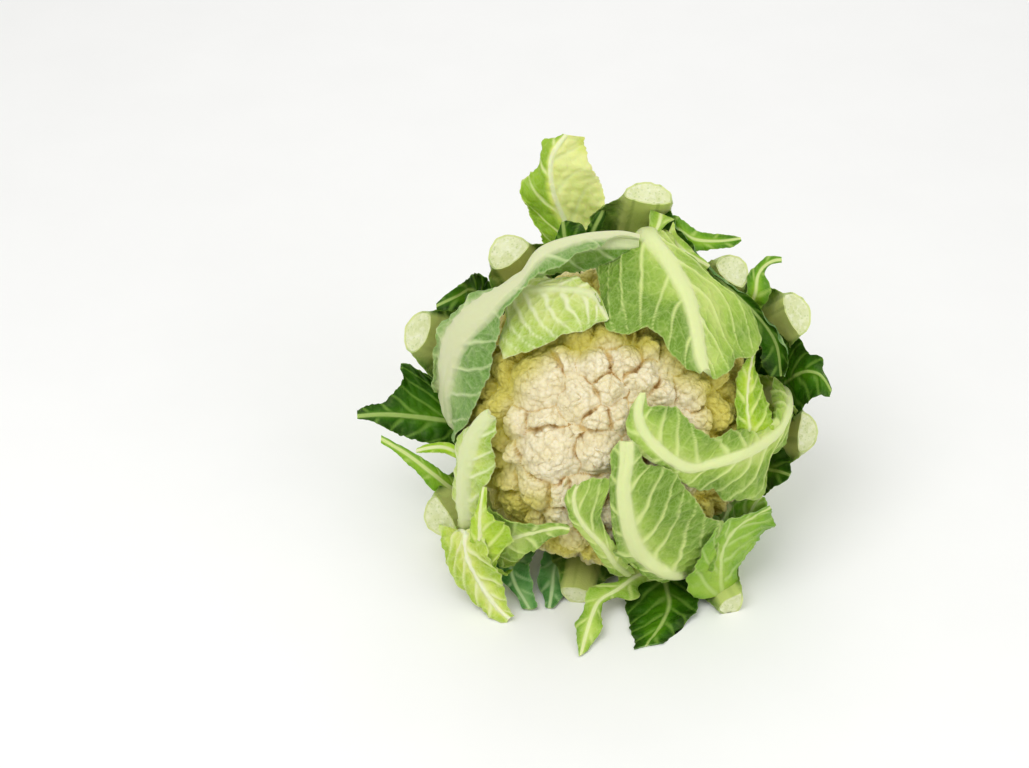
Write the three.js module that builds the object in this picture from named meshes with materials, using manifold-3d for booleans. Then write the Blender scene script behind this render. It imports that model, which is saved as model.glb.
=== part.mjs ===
// A cauliflower head with its trimmed wrapper leaves, lying on the lower edge of its cut stem
// and on the leaf stalks below. Millimetres, +Z up, the curd facing the front (-Y) and upward.
import * as THREE from "three";
import { mergeVertices } from "three/addons/utils/BufferGeometryUtils.js";
import Module from "manifold-3d";

const wasm = await Module();
wasm.setup();

// Driving dimensions. In the head's own frame X is right, Y is up the face of the head and Z runs
// out along its axis.
const LEAN = 54.3; // degrees from lying flat on its stem to leaning as it does
const HEAD_SEAT = [13.1, -16.2, 90]; // where the head's own origin stands over the surface
const CURD = { x: -5, y: -8, radius: 74, equator: -15, crown: 62, foot: -62, neck: 30 };
const STEM = { x: 0, y: -2, top: -60, butt: -119, radius: 24 };
const EYE = [-51, 8, 1073]; // plan places are those seen from this point on the head's axis
const BLADE = 1.3; // thickness of a leaf blade
const GAP = 0.4; // clearance between neighbouring pieces
const ROW = 17; // length of leaf between two cross rows
const WING_CURL = 0.25; // how far the strips of blade on a stalk curl forward for their reach
// The share of their reach that the strips have, from the stem to the cut in even steps.
const WING_SHARES = [0.5, 1, 1, 0.95, 0];

// A leaf is three lines from its base to its tip, given as plan places with a depth: its left
// edge, its rib and its right edge. Its rib is ribWide across and stands ribHigh proud of the
// blade's outer side. shows tells which side faces out along the head's axis.
const LEAVES = [
  {
    name: "leaf_left_arching", color: 0x8fb98c, shows: "outer", ribWide: 22, ribHigh: 4,
    left: [[-28, 10, -92], [-62, 10, -62], [-84, 6, -35], [-91, 5, -15], [-91, 18, -5],
      [-88, 33, 5], [-80, 45, 12], [-70, 52, 17], [-60, 55, 21], [-50, 59, 24], [-42, 60, 22],
      [-28, 61, 18], [-12, 64, 18], [1, 70, 16], [13, 75, 15]],
    rib: [[-25, -5, -95], [-60, -12, -60], [-82, -8, -30], [-84, 0, -20], [-83, 20, 5],
      [-76, 36, 20], [-62, 48, 28], [-47, 60, 30], [-38, 72, 27], [-20, 78, 22], [0, 79.5, 18],
      [13, 78, 16]],
    right: [[-22, -20, -90], [-55, -30, -52], [-73, -28, -12], [-79, -18, 10], [-72, -10, 16],
      [-68, 3, 22], [-62, 20, 28], [-59, 32, 33], [-57, 41, 37], [-47, 53, 38], [-40, 62, 35],
      [-30, 65, 34], [-20, 70, 31], [-12, 74, 28], [0, 79, 20], [13, 77, 16]],
  },
  {
    name: "leaf_top_left_inner", color: 0xb9cf7a, shows: "outer", ribWide: 5, ribHigh: 1.5,
    left: [[-50, 62, 5], [-40, 58, 14], [-28, 60, 20], [-22, 58.5, 26], [-16, 53, 33],
      [-9, 45, 38], [-5, 38.5, 39]],
    rib: [[-52, 58, 8], [-45, 54, 22], [-30, 54, 28], [-20, 53, 32], [-12, 50, 35],
      [-8, 43, 38], [-5, 38.5, 39]],
    right: [[-58, 50, 8], [-55, 38, 20], [-57, 20, 28], [-50, 23, 33], [-43, 25, 36],
      [-33, 29, 38.5], [-25, 31, 40], [-12, 38, 40], [-5, 38.5, 39]],
  },
  {
    name: "leaf_upper_right_big", color: 0xc2d985, shows: "outer", ribWide: 14, ribHigh: 3.5,
    left: [[-2, 42, -85], [2, 70, -45], [-2, 78, -8], [-8, 66, 10], [-11, 62, 16], [-10, 50, 26],
      [-8, 41, 34], [-6, 34, 40], [3, 32, 41.5], [14, 35, 41], [19, 31, 42], [25, 23, 42],
      [33, 15, 42], [42, 11, 40]],
    rib: [[8, 40, -88], [12, 72, -50], [13, 82, -10], [16, 77, 12], [22, 70, 20], [28, 60, 27],
      [33, 50, 32], [36, 40, 36], [38, 30, 38], [39.5, 20, 39], [43, 12, 39]],
    right: [[22, 40, -85], [28, 72, -45], [25, 80, -10], [34, 66, 8], [45, 57, 12], [55, 49, 15],
      [62, 42, 17], [67, 38, 18], [69, 28, 20], [65, 22, 24], [57, 20, 29], [52, 14, 33],
      [47, 10, 36], [43, 11, 39]],
  },
  {
    name: "leaf_right_cross", color: 0xc9dc7e, shows: "outer", ribWide: 9, ribHigh: 3,
    left: [[26, 6, -88], [58, 12, -60], [72, 14, -28], [74, 0, 0], [75, -8, 8], [66, -14, 18],
      [58, -15, 24], [53, -14, 28], [47, -17, 31], [41, -17, 34], [35, -12, 40], [27, -4, 45],
      [20, -2.5, 48], [14, -3, 50], [12, 7, 52]],
    rib: [[30, -10, -90], [65, -5, -60], [80, 5, -25], [82, -4, 0], [77, -15, 13],
      [68, -22, 22], [58, -27, 30], [45, -31, 34], [35, -33, 37], [28, -31, 41], [20, -25, 46],
      [12, -16, 49], [9, -8, 51], [10, 2, 52], [12, 7, 52]],
    right: [[28, -26, -88], [66, -24, -58], [86, -12, -30], [85, -3, -10], [80, -18, 2],
      [76, -25, 8], [72, -35, 12], [70, -46, 10], [60, -49, 16], [52, -49, 20], [45, -44, 26],
      [37, -43, 30], [30, -40, 35], [24, -35, 40], [14, -27, 45], [7, -19, 48], [3, -11, 50],
      [6, -2, 52], [12, 7, 52]],
  },
  {
    name: "leaf_right_lime", color: 0x9ccb1e, shows: "outer", ribWide: 3, ribHigh: 1,
    left: [[56, -30, 9], [53, -13, 24], [54, -5, 25], [55.5, 2, 26], [56, 7, 25], [57, 12, 23],
      [61, 20, 18], [65, 26, 12]],
    rib: [[62, -32, 9], [63, -15, 22], [62, -5, 23], [62, 5, 22], [63, 14, 19], [64, 20, 15],
      [65, 26, 12]],
    right: [[68, -30, 7], [74, -10, 14], [75, -7, 13], [72, 0, 13], [69, 8, 12], [66, 15, 12],
      [66, 22, 12], [65, 26, 12]],
  },
  {
    name: "leaf_lower_big", color: 0xbfd57a, shows: "outer", ribWide: 10, ribHigh: 3,
    left: [[8, -36, -86], [16, -56, -58], [22, -72, -32], [22, -88, -8], [15, -87, 6],
      [3, -76, 17], [-1, -68, 24], [-3, -61, 29], [-4, -53, 35], [-5, -44, 39], [-5, -35, 43],
      [-4, -25, 46], [1, -17, 49]],
    rib: [[15, -33, -88], [24, -54, -60], [32, -72, -35], [32, -84, -10], [22, -84, 8],
      [11, -76, 17], [5, -65, 29], [2.5, -53, 38], [1.6, -42, 43.5], [3, -30, 47],
      [3, -17, 49]],
    right: [[24, -32, -86], [34, -50, -58], [42, -68, -32], [42, -84, -12], [45, -82, 0],
      [48, -72, 10], [50, -61, 22], [42, -56, 28], [37, -48, 33], [31, -41, 37], [22, -32, 42],
      [13, -31, 46], [9, -23, 48], [4, -17, 50]],
  },
  {
    name: "leaf_lower_right_bright", color: 0x8cc23a, shows: "inner", ribWide: 3, ribHigh: 1,
    left: [[40, -97, -8], [33, -94, -4], [34, -86, 6], [37, -78, 14], [41, -72, 18],
      [47, -63, 20], [58, -58, 14], [74, -51, 0]],
    rib: [[50, -95, -10], [49, -85, -2], [50, -73, 6], [56, -63, 8], [66, -56, 4], [74, -52, 0]],
    right: [[58, -93, -13], [58, -86, -14], [60, -79, -10], [67, -72, -8], [73, -64, -8],
      [75, -57, -4], [74, -53, 0]],
  },
  {
    name: "leaf_lower_right_dark", color: 0x35702a, shows: "inner", ribWide: 5, ribHigh: 1.5,
    left: [[14, -28, -88], [36, -50, -56], [48, -66, -18], [52, -58, -5], [57, -51, 0],
      [70, -46, 0]],
    rib: [[22, -20, -90], [46, -42, -60], [60, -62, -30], [62, -58, -8], [66, -50, -2],
      [70, -46, 0]],
    right: [[28, -12, -90], [56, -34, -60], [73, -58, -30], [74, -56, -8], [72, -50, -2],
      [70, -46, 0]],
  },
  {
    name: "leaf_lower_small_pale", color: 0xc8da8c, shows: "outer", ribWide: 4, ribHigh: 1.2,
    left: [[-2, -86, -8], [-8, -81, 8], [-14, -71, 22], [-23, -60, 31], [-26, -52, 36],
      [-26, -45, 40], [-21, -40, 43]],
    rib: [[4, -85, -8], [-2, -80, 8], [-8, -71, 23], [-18, -60, 32], [-22, -52, 37],
      [-22, -45, 41], [-20, -41, 43]],
    right: [[8, -84, -6], [2, -76, 12], [0, -71, 20], [-3, -67, 25], [-8, -60, 32],
      [-9, -54, 35], [-7, -47, 39], [-5, -39, 44], [-12, -38, 45], [-20, -40, 43]],
  },
  {
    name: "leaf_left_lower_pale", color: 0xc3d79a, shows: "outer", ribWide: 12, ribHigh: 3.5,
    left: [[-26, -20, -88], [-58, -40, -62], [-78, -58, -30], [-79, -62, -10], [-81, -50, 0],
      [-81, -38, 8], [-79, -26, 15], [-74, -15, 24], [-68, -9, 30], [-61, -5, 37]],
    rib: [[-20, -28, -88], [-50, -52, -60], [-70, -66, -30], [-75, -60, -5], [-76, -48, 8],
      [-76, -35, 18], [-74, -24, 26], [-70, -14, 32], [-65, -8, 36], [-61, -6, 38]],
    right: [[-14, -33, -86], [-42, -58, -54], [-62, -74, -24], [-70, -64, -2], [-68, -50, 14],
      [-65, -42, 22], [-61, -32, 28], [-62, -20, 32], [-60, -14, 34], [-61, -6, 38]],
  },
  {
    name: "leaf_left_lower_ragged", color: 0xa9cc48, shows: "outer", ribWide: 4, ribHigh: 1.5,
    left: [[-56, -70, -34], [-72, -82, -12], [-74, -80, 0], [-74, -68, 8], [-71, -57, 16],
      [-69, -48, 22], [-67, -41, 27]],
    rib: [[-50, -74, -34], [-62, -84, -14], [-66, -82, 2], [-68, -70, 12], [-68, -58, 20],
      [-67, -48, 25], [-66, -41, 27]],
    right: [[-44, -74, -34], [-54, -85, -12], [-60, -80, 6], [-55, -73, 16], [-52.5, -68, 22],
      [-57, -60, 27], [-63, -53, 28], [-65, -41, 28]],
  },
  {
    name: "leaf_left_yellow_green", color: 0xb7c84a, shows: "outer", ribWide: 6, ribHigh: 2,
    left: [[-44, -34, -84], [-74, -52, -52], [-88, -60, -20], [-88, -68, -4], [-85, -76, -6],
      [-81, -86, -8], [-75, -94, -8], [-71, -101, -8], [-63, -106, -2], [-53, -109, 0]],
    rib: [[-40, -40, -84], [-65, -60, -50], [-78, -64, -15], [-75, -66, 6], [-75, -74, 6],
      [-71, -84, 3], [-65, -94, 0], [-59, -102, -1], [-52, -108, 0]],
    right: [[-36, -42, -82], [-58, -64, -46], [-70, -68, -12], [-66, -64, 14], [-62, -79, 12],
      [-60, -84, 9], [-57, -88, 6], [-55, -94, 3], [-55, -100, 0], [-50, -107, 0]],
  },
  {
    name: "leaf_bottom_ragged_pale", color: 0xcfdc9a, shows: "outer", ribWide: 4, ribHigh: 1.2,
    left: [[-54, -62, -28], [-66, -70, -12], [-65, -58, 6], [-64, -50, 16], [-57, -55, 20],
      [-50, -60, 22], [-42, -61.5, 26], [-36, -60, 27], [-25, -60, 31]],
    rib: [[-46, -66, -30], [-60, -76, -14], [-62, -72, 0], [-55, -68, 10], [-48, -66, 17],
      [-40, -64, 22], [-30, -62, 28], [-23, -63, 30]],
    right: [[-40, -70, -30], [-54, -82, -14], [-56, -79, -4], [-51, -80, 2], [-47, -77, 8],
      [-43, -74, 12], [-38, -71, 17], [-33, -67.5, 22], [-25, -65, 28]],
  },
  {
    name: "leaf_bottom_left_dark", color: 0x3b6f4a, shows: "inner", ribWide: 4, ribHigh: 1.2,
    left: [[-50, -74, -28], [-61, -77, -20], [-59, -86, -16], [-52, -94, -14], [-48, -102, -8.5]],
    rib: [[-45, -73, -30], [-53, -81, -19], [-51, -90, -15], [-47, -97, -12], [-44, -102.5, -8]],
    right: [[-40, -72, -32], [-44, -82, -17], [-42, -90, -13], [-41, -97, -11], [-40, -102, -8.5]],
  },
  {
    name: "leaf_bottom_left_dark_fold", color: 0x3b6f4a, shows: "inner", ribWide: 3, ribHigh: 1,
    left: [[-32, -62, -44], [-40, -83, -24], [-39, -92, -18], [-36, -102, -10]],
    rib: [[-25, -62, -46], [-32, -83, -24], [-33, -92, -17], [-34.5, -102, -9.5]],
    right: [[-18, -62, -44], [-24.5, -82, -24], [-26, -93, -16], [-33, -102, -9]],
  },
  {
    name: "leaf_back_upright", color: 0xc5d66a, shows: "inner", ribWide: 20, ribHigh: 1.5,
    left: [[-18, 24, -92], [-30, 50, -78], [-40, 81, -56], [-47, 97, -51], [-49, 103, -50],
      [-43, 110, -50], [-40, 118, -50], [-36, 127, -49], [-26, 131, -48]],
    rib: [[-8, 20, -95], [-15, 55, -80], [-23, 85, -62], [-27, 104, -55], [-26, 119, -50],
      [-22, 131.5, -47]],
    right: [[4, 24, -92], [0, 60, -80], [-8, 88, -67], [-7, 97, -63], [-8, 104, -60],
      [-14, 112, -55], [-15, 120, -50], [-17.5, 130, -47]],
  },
  {
    name: "leaf_back_small_dark", color: 0x2f6b1e, shows: "inner", ribWide: 3, ribHigh: 1,
    left: [[-26, 40, -72], [-34, 72, -30], [-32, 80, -27], [-28, 88, -24]],
    rib: [[-18, 40, -72], [-25, 70, -30], [-27, 80, -26], [-28, 88, -24]],
    right: [[-10, 40, -72], [-12, 72, -30], [-14, 80, -26], [-20, 86, -25], [-27, 88, -24]],
  },
  {
    name: "leaf_back_thin_twist", color: 0x8fb08c, shows: "inner", ribWide: 2, ribHigh: 0.6,
    left: [[-18, 56, -62], [-19, 78, -32], [-15, 86, -27], [-10, 93, -25], [-7.5, 96, -25]],
    rib: [[-14, 56, -62], [-15, 77, -32], [-12, 85, -27], [-8.5, 92, -25], [-7.3, 96, -25]],
    right: [[-10, 56, -62], [-11, 76, -32], [-9, 84, -27], [-6.8, 91, -26], [-7, 96, -25]],
  },
  {
    name: "leaf_upper_left_dark", color: 0x2f6b1e, shows: "inner", ribWide: 4, ribHigh: 1.2,
    left: [[-30, 20, -88], [-55, 50, -55], [-70, 62, -26], [-79, 56, -14], [-91, 46, -9]],
    rib: [[-34, 14, -88], [-62, 42, -55], [-73, 54, -23], [-81, 50, -12], [-91, 45, -8]],
    right: [[-38, 8, -88], [-68, 34, -55], [-77, 44, -20], [-83, 43, -10], [-91, 44, -8]],
  },
  {
    name: "leaf_upper_right_dark_long", color: 0x3f7a26, shows: "inner", ribWide: 4,
    ribHigh: 1.2,
    left: [[2, 34, -90], [8, 66, -56], [18, 90, -22], [24, 92, -14], [36, 76, -4], [44, 63, 0],
      [60, 52.5, 3], [70, 41, 6], [78, 33, 8], [82, 23.5, 8], [79, 9, -2]],
    rib: [[10, 30, -90], [16, 62, -58], [20, 82, -22], [30, 74, -10], [45, 62, -4],
      [58, 50, 0], [68, 40, 2], [76, 28, 2], [79, 9, -4]],
    right: [[18, 26, -88], [24, 54, -52], [22, 72, -20], [26, 70, -8], [38, 58, -2],
      [52, 46, 2], [62, 36, 4], [68, 24, 4], [73, 9, -2]],
  },
  {
    name: "leaf_upper_right_tongue", color: 0x6fae3a, shows: "inner", ribWide: 3, ribHigh: 1,
    left: [[14, 70, -50], [25, 91, -16], [33, 86, -13], [40, 82, -13], [52, 81, -14],
      [60, 79, -16]],
    rib: [[20, 66, -50], [27, 84, -16], [36, 78.5, -12], [48, 77.5, -14], [60, 79, -16]],
    right: [[26, 62, -50], [30, 76, -16], [36, 72.5, -12], [44, 73.5, -13], [54, 74, -14],
      [60, 78, -16]],
  },
  {
    name: "leaf_upper_curl_left", color: 0xdde3c4, shows: "inner", ribWide: 2, ribHigh: 0.6,
    left: [[13, 79.5, -3], [14, 86, -6], [14.5, 93, -8]],
    rib: [[16, 79.5, -4], [19, 86, -7], [20, 91, -9]],
    right: [[19, 82, -5], [24, 86, -8], [26, 88, -10]],
  },
  {
    name: "leaf_upper_curl_right", color: 0xdde3c4, shows: "inner", ribWide: 2, ribHigh: 0.6,
    left: [[26, 87, -8], [29, 80, -5], [35, 74, -3], [44, 66, 0]],
    rib: [[24, 82, -8], [27, 77, -5], [32, 72, -2], [44, 65, 0]],
    right: [[23, 78, -9], [25, 74, -6], [30, 69, -3], [42, 63, 0]],
  },
  {
    name: "leaf_right_small_tongue", color: 0x5d9a34, shows: "inner", ribWide: 2.5, ribHigh: 0.8,
    left: [[44, 40, -60], [54, 48, -28], [61, 52, -9], [62, 60, -10], [66, 65.5, -11],
      [71, 70, -13], [80, 70, -15]],
    rib: [[50, 34, -60], [60, 44, -28], [66, 52, -9], [67, 60, -10], [70, 65, -12],
      [75, 68, -14], [80, 68.5, -15]],
    right: [[56, 28, -60], [66, 40, -28], [73, 51, -9], [72, 57, -10], [70.5, 62, -12],
      [73, 66, -14], [80, 67, -15]],
  },
  {
    name: "leaf_right_dark_pointed", color: 0x2c5f22, shows: "inner", ribWide: 5, ribHigh: 1.5,
    left: [[26, 14, -90], [56, 20, -60], [80, 33, -20], [91, 27, -12], [99, 20.5, -9],
      [99, 14, -8], [101, 11, -7], [104, 4, -6]],
    rib: [[30, 4, -90], [60, 6, -62], [80, 8, -32], [86, 12, -20], [92, 14, -12],
      [98, 12, -8], [104, 3, -6]],
    right: [[28, -6, -90], [60, -10, -60], [80, -12, -30], [89, -4, -16], [93, 0, -11],
      [98, 1.2, -8], [104, 1.5, -7]],
  },
  {
    name: "leaf_right_dark_low", color: 0x2b5d2a, shows: "inner", ribWide: 4, ribHigh: 1.2,
    left: [[30, -6, -86], [62, -14, -56], [78, -22, -32], [82, -28, -24], [84, -36, -20]],
    rib: [[28, -14, -86], [58, -26, -54], [73, -34, -32], [78, -35, -24], [84, -37, -20]],
    right: [[24, -22, -86], [52, -38, -52], [68, -46, -32], [76, -43, -25], [83, -38, -21]],
  },
  {
    name: "leaf_left_dark_veined", color: 0x2a6030, shows: "inner", ribWide: 7, ribHigh: 2,
    left: [[-30, 6, -88], [-52, 2, -78], [-75, 6, -55], [-92, 12, -40], [-106, 19, -34],
      [-107, 10, -34], [-114, 0, -35], [-121, -1, -36], [-130, -6, -36]],
    rib: [[-28, -6, -92], [-45, -12, -84], [-70, -12, -58], [-85, -10, -42], [-100, -8, -38],
      [-115, -7, -36], [-130, -8, -36]],
    right: [[-26, -18, -88], [-50, -28, -80], [-72, -26, -52], [-85, -22, -40],
      [-98, -21, -37], [-110, -16, -36], [-120, -11, -36], [-130, -9, -36]],
  },
  {
    name: "leaf_left_narrow_white_rib", color: 0x4d8a3a, shows: "inner", ribWide: 3,
    ribHigh: 1.2,
    left: [[-38, -22, -84], [-64, -32, -54], [-82, -36, -28], [-90, -32, -22], [-100, -26, -22],
      [-113, -18.5, -24], [-118, -16, -24]],
    rib: [[-40, -28, -84], [-66, -40, -54], [-80, -44, -30], [-90, -37, -22], [-103, -27, -22],
      [-118, -18, -24]],
    right: [[-40, -34, -82], [-66, -48, -52], [-86, -47, -28], [-93, -43, -22],
      [-100, -35, -22], [-110, -25.5, -23], [-118, -20.5, -24]],
  },
  {
    name: "leaf_left_lime_strip", color: 0x9bc53c, shows: "inner", ribWide: 2, ribHigh: 0.6,
    left: [[-60, -22, -38], [-78, -22.5, -14], [-86, -20, -14], [-94, -21, -16],
      [-100, -24, -18]],
    rib: [[-62, -26, -38], [-78, -26, -14], [-86, -23, -14], [-94, -23.5, -16],
      [-100, -25, -18]],
    right: [[-62, -30, -38], [-78, -29, -14], [-86, -26, -14], [-94, -26, -16],
      [-100, -26, -18]],
  },
  {
    name: "leaf_bottom_small_pale", color: 0xcfe08c, shows: "inner", ribWide: 3, ribHigh: 1,
    left: [[8, -62, -44], [8, -79, -18], [2, -78, -12], [-1, -88, -6], [-14, -91, -2],
      [-18, -101, 4], [-21.5, -110, 8], [-21, -118, 13], [-19.5, -126, 18.5]],
    rib: [[14, -62, -46], [14, -82, -18], [6, -87, -10], [-2, -93, -4], [-10, -98, 2],
      [-14, -106, 8], [-17, -116, 13], [-19.5, -126, 18.5]],
    right: [[20, -62, -46], [17, -85, -20], [9, -93, -12], [6, -97, -8], [-2, -96.5, -4],
      [-8, -99, 1], [-8.5, -107, 5], [-11, -115, 10], [-16, -123, 16]],
  },
  {
    name: "leaf_bottom_dark", color: 0x2f6a2a, shows: "inner", ribWide: 5, ribHigh: 1.5,
    left: [[2, -36, -84], [4, -56, -58], [2, -88, -22], [2, -98, -12], [4, -108, -2],
      [6, -117, 8], [8, -123, 15]],
    rib: [[8, -34, -86], [14, -56, -60], [18, -73, -40], [22, -89, -22], [24, -100, -11],
      [20, -110, 1], [12, -121, 13.5]],
    right: [[14, -34, -86], [24, -54, -60], [38, -88, -22], [39, -102, -8], [33, -108, -1],
      [27, -113, 5], [21, -119.5, 12]],
  },
];

// A leaf stalk whose blade was cut away: the line of its rib from the stem to its cut face, the
// face's width and thickness, and how far the remains of the blade reach clockwise of it and back.
const STALKS = [
  { name: "stalk_top", wide: 24, thick: 12, wings: [14, 25],
    rib: [[2, 20, -92], [6, 60, -70], [10, 85, -35], [13, 95, -12], [14, 99, -4]] },
  { name: "stalk_upper_right", wide: 19, thick: 14, wings: [18, 15],
    rib: [[12, 12, -92], [35, 40, -60], [48, 56, -28], [54, 62, -8]] },
  { name: "stalk_right", wide: 22, thick: 13, wings: [18, 25],
    rib: [[22, 8, -92], [55, 25, -62], [75, 37, -30], [85, 42, -6]] },
  { name: "stalk_right_low", wide: 20, thick: 11, wings: [20, 16],
    rib: [[25, -5, -92], [60, -12, -65], [80, -16, -38], [90, -16, -18]] },
  { name: "stalk_bottom_right", wide: 14, thick: 11, wings: [15, 15],
    rib: [[12, -25, -90], [30, -53, -58], [42, -76, -32], [50, -92, -14], [54, -99, -5]] },
  { name: "stalk_bottom", wide: 15, thick: 10, wings: [18, 18],
    rib: [[-5, -25, -90], [-12, -55, -57], [-17, -77, -33], [-21, -94, -11]] },
  { name: "stalk_left_low", wide: 22, thick: 15, wings: [18, 18],
    rib: [[-22, -18, -92], [-52, -38, -62], [-74, -50, -35], [-87, -57, -12]] },
  { name: "stalk_left", wide: 22, thick: 15, wings: [20, 24],
    rib: [[-24, 4, -92], [-58, 18, -65], [-82, 28, -42], [-97, 33, -20]] },
  { name: "stalk_upper_left", wide: 22, thick: 17, wings: [25, 22],
    rib: [[-14, 16, -92], [-33, 42, -68], [-46, 60, -42], [-54, 71, -18]] },
];

// The place in the head's frame of a plan place [x, y] at depth z.
function placeOf([x, y, z]) {
  const pull = z / EYE[2];
  return new THREE.Vector3(x + (EYE[0] - x) * pull, y + (EYE[1] - y) * pull, z);
}

function lineThrough(places) {
  return new THREE.CatmullRomCurve3(places.map(placeOf));
}

// A closed geometry as a solid that can be joined and cut.
function solidOf(geometry) {
  const bare = geometry.clone();
  bare.deleteAttribute("normal");
  bare.deleteAttribute("uv");
  const merged = mergeVertices(bare, 1e-4);
  const vertProperties = new Float32Array(merged.attributes.position.array);
  const triVerts = new Uint32Array(merged.index.array);
  return new wasm.Manifold(new wasm.Mesh({ numProp: 3, vertProperties, triVerts }));
}

function geometryOf(solid) {
  const mesh = solid.getMesh();
  const geometry = new THREE.BufferGeometry();
  geometry.setAttribute("position", new THREE.BufferAttribute(mesh.vertProperties, 3));
  geometry.setIndex(new THREE.BufferAttribute(mesh.triVerts, 1));
  geometry.computeVertexNormals();
  return geometry;
}

// The largest of the bodies that cutting a piece leaves.
function largestBody(solid) {
  const bodies = solid.decompose();
  return bodies.reduce((best, body) => (body.volume() > best.volume() ? body : best));
}

// The blade's middle surface: across runs from -1 at the left edge, through 0 on the rib, to 1 at
// the right edge, and along runs from 0 at the base to 1 at the tip.
function bladeSurface(leaf) {
  const [left, rib, right] = [leaf.left, leaf.rib, leaf.right].map(lineThrough);
  return (across, along) => {
    const u = THREE.MathUtils.clamp(along, 0, 1) * 0.985;
    const [l, m, r] = [left, rib, right].map((line) => line.getPointAt(u));
    const slant = r.clone().sub(l).multiplyScalar(across / 2);
    const cup = l.clone().add(r).multiplyScalar(0.5).sub(m).multiplyScalar(across * across);
    return { point: m.clone().add(slant).add(cup), half: Math.max(l.distanceTo(r) / 2, 1) };
  };
}

// The blade's normal from two short steps on its middle surface.
function bladeNormal(surface, across, along) {
  const step = 0.02;
  const u = THREE.MathUtils.clamp(along, step, 1 - step);
  const over = surface(across + step, u).point.sub(surface(across - step, u).point);
  const up = surface(across, u + step).point.sub(surface(across, u - step).point);
  return over.cross(up).normalize();
}

// The direction in which the blade runs on, from its base towards its tip.
function bladeRun(surface, across, along) {
  const step = 0.02;
  const u = THREE.MathUtils.clamp(along, step, 1 - step);
  const ahead = surface(across, u + step).point;
  return ahead.sub(surface(across, u - step).point).normalize();
}

// The columns across a leaf: the rib's crest, its edges, halfway out, and the leaf's edges.
function columnPlace(column, half, ribWide) {
  const ribShare = Math.min(ribWide / 2 / half, 0.6);
  const places = [0, ribShare, (1 + ribShare) / 2, 1];
  return Math.sign(column) * places[Math.abs(column)];
}

// A leaf as one closed solid, thicker by grow all round.
function leafSolid(leaf, grow) {
  const surface = bladeSurface(leaf);
  const rows = Math.max(4, Math.round(lineThrough(leaf.rib).getLength() / ROW));
  const facing = bladeNormal(surface, 0, 0.75).z > 0 ? 1 : -1;
  const outerSide = leaf.outerSide ?? (leaf.shows === "outer" ? facing : -facing);
  const box = new THREE.BoxGeometry(6, rows, 2, 6, rows, 1);
  const place = box.attributes.position;
  for (let i = 0; i < place.count; i += 1) {
    const column = Math.round(place.getX(i));
    const along = place.getY(i) / rows + 0.5;
    const side = place.getZ(i);
    const half = surface(0, along).half;
    const across = columnPlace(column, half, leaf.ribWide);
    const { point } = surface(across * (1 + grow / half), along);
    const normal = bladeNormal(surface, across, along);
    const crest = Math.sqrt(Math.max(0, 1 - (Math.abs(across) * half * 2 / leaf.ribWide) ** 2));
    const rib = side === outerSide ? leaf.ribHigh * crest * (leaf.stalk ? 1 : 1 - 0.7 * along) : 0;
    point.addScaledVector(normal, side * (BLADE / 2 + rib + grow));
    const end = along === 0 ? -1 : Math.floor(along);
    point.addScaledVector(bladeRun(surface, across, along), end * grow);
    place.setXYZ(i, point.x, point.y, point.z);
  }
  return solidOf(box);
}

// A cut stalk as a leaf whose edges follow its rib, curling forward where the blade was left on.
function stalkLeaf(stalk) {
  const line = new THREE.CatmullRomCurve3(stalk.rib.map((p) => new THREE.Vector3(...p)));
  const edge = (wing, sign) => WING_SHARES.map((share, i) => {
    const p = line.getPointAt(i / (WING_SHARES.length - 1));
    const round = Math.hypot(p.x, p.y);
    const wide = Math.max(wing * share, stalk.wide / 2);
    const x = p.x - (sign * p.y * wide) / round;
    const y = p.y + (sign * p.x * wide) / round;
    return [x, y, p.z + WING_CURL * (wide - stalk.wide / 2)];
  });
  return {
    name: stalk.name, color: 0xc8d68c, stalk: true, outerSide: 1, ribWide: stalk.wide,
    ribHigh: stalk.thick - BLADE, left: edge(stalk.wings[0], -1), rib: stalk.rib,
    right: edge(stalk.wings[1], 1),
  };
}

// The curd: a dome over its equator that narrows below to where its branches join the stem.
function curdSolid(grow) {
  const { x, y, radius, equator, crown, foot, neck } = CURD;
  const profile = [new THREE.Vector2(0, foot - grow), new THREE.Vector2(neck + grow, foot - grow)];
  const underside = new THREE.QuadraticBezierCurve(
    new THREE.Vector2(neck + grow, foot - grow),
    new THREE.Vector2(radius + grow, foot * 0.72),
    new THREE.Vector2(radius + grow, equator),
  );
  profile.push(...underside.getPoints(4).slice(1));
  for (let turn = 18; turn <= 90; turn += 18) {
    const angle = THREE.MathUtils.degToRad(turn);
    const out = turn === 90 ? 0 : (radius + grow) * Math.cos(angle);
    profile.push(new THREE.Vector2(out, equator + (crown + grow) * Math.sin(angle)));
  }
  const dome = new THREE.LatheGeometry(profile, 28);
  dome.rotateX(Math.PI / 2);
  dome.translate(x, y, 0);
  return solidOf(dome);
}

function stemSolid(grow) {
  const { x, y, top, butt, radius } = STEM;
  const trunk = new THREE.CylinderGeometry(radius + grow, radius + grow, top - butt, 24);
  trunk.rotateX(Math.PI / 2);
  trunk.translate(x, y, (top + butt) / 2 - GAP);
  return solidOf(trunk);
}

// Everything below the surface that the head lies on, as a solid in the head's frame.
function underSurface(head) {
  const depth = 200;
  const slab = new THREE.BoxGeometry(800, 800, depth);
  slab.translate(0, 0, -depth / 2);
  slab.applyMatrix4(head.matrixWorld.clone().invert());
  return solidOf(slab);
}

const head = new THREE.Group();
head.rotation.x = THREE.MathUtils.degToRad(LEAN);
head.position.set(...HEAD_SEAT);
head.updateMatrixWorld(true);

const pieces = [
  { name: "stem", color: 0xd9e0b4, make: stemSolid },
  { name: "curd", color: 0xefe3cb, make: curdSolid },
  ...[...STALKS.map(stalkLeaf), ...LEAVES].map((leaf) => ({
    name: leaf.name,
    color: leaf.color,
    make: (grow) => leafSolid(leaf, grow),
  })),
];

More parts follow.
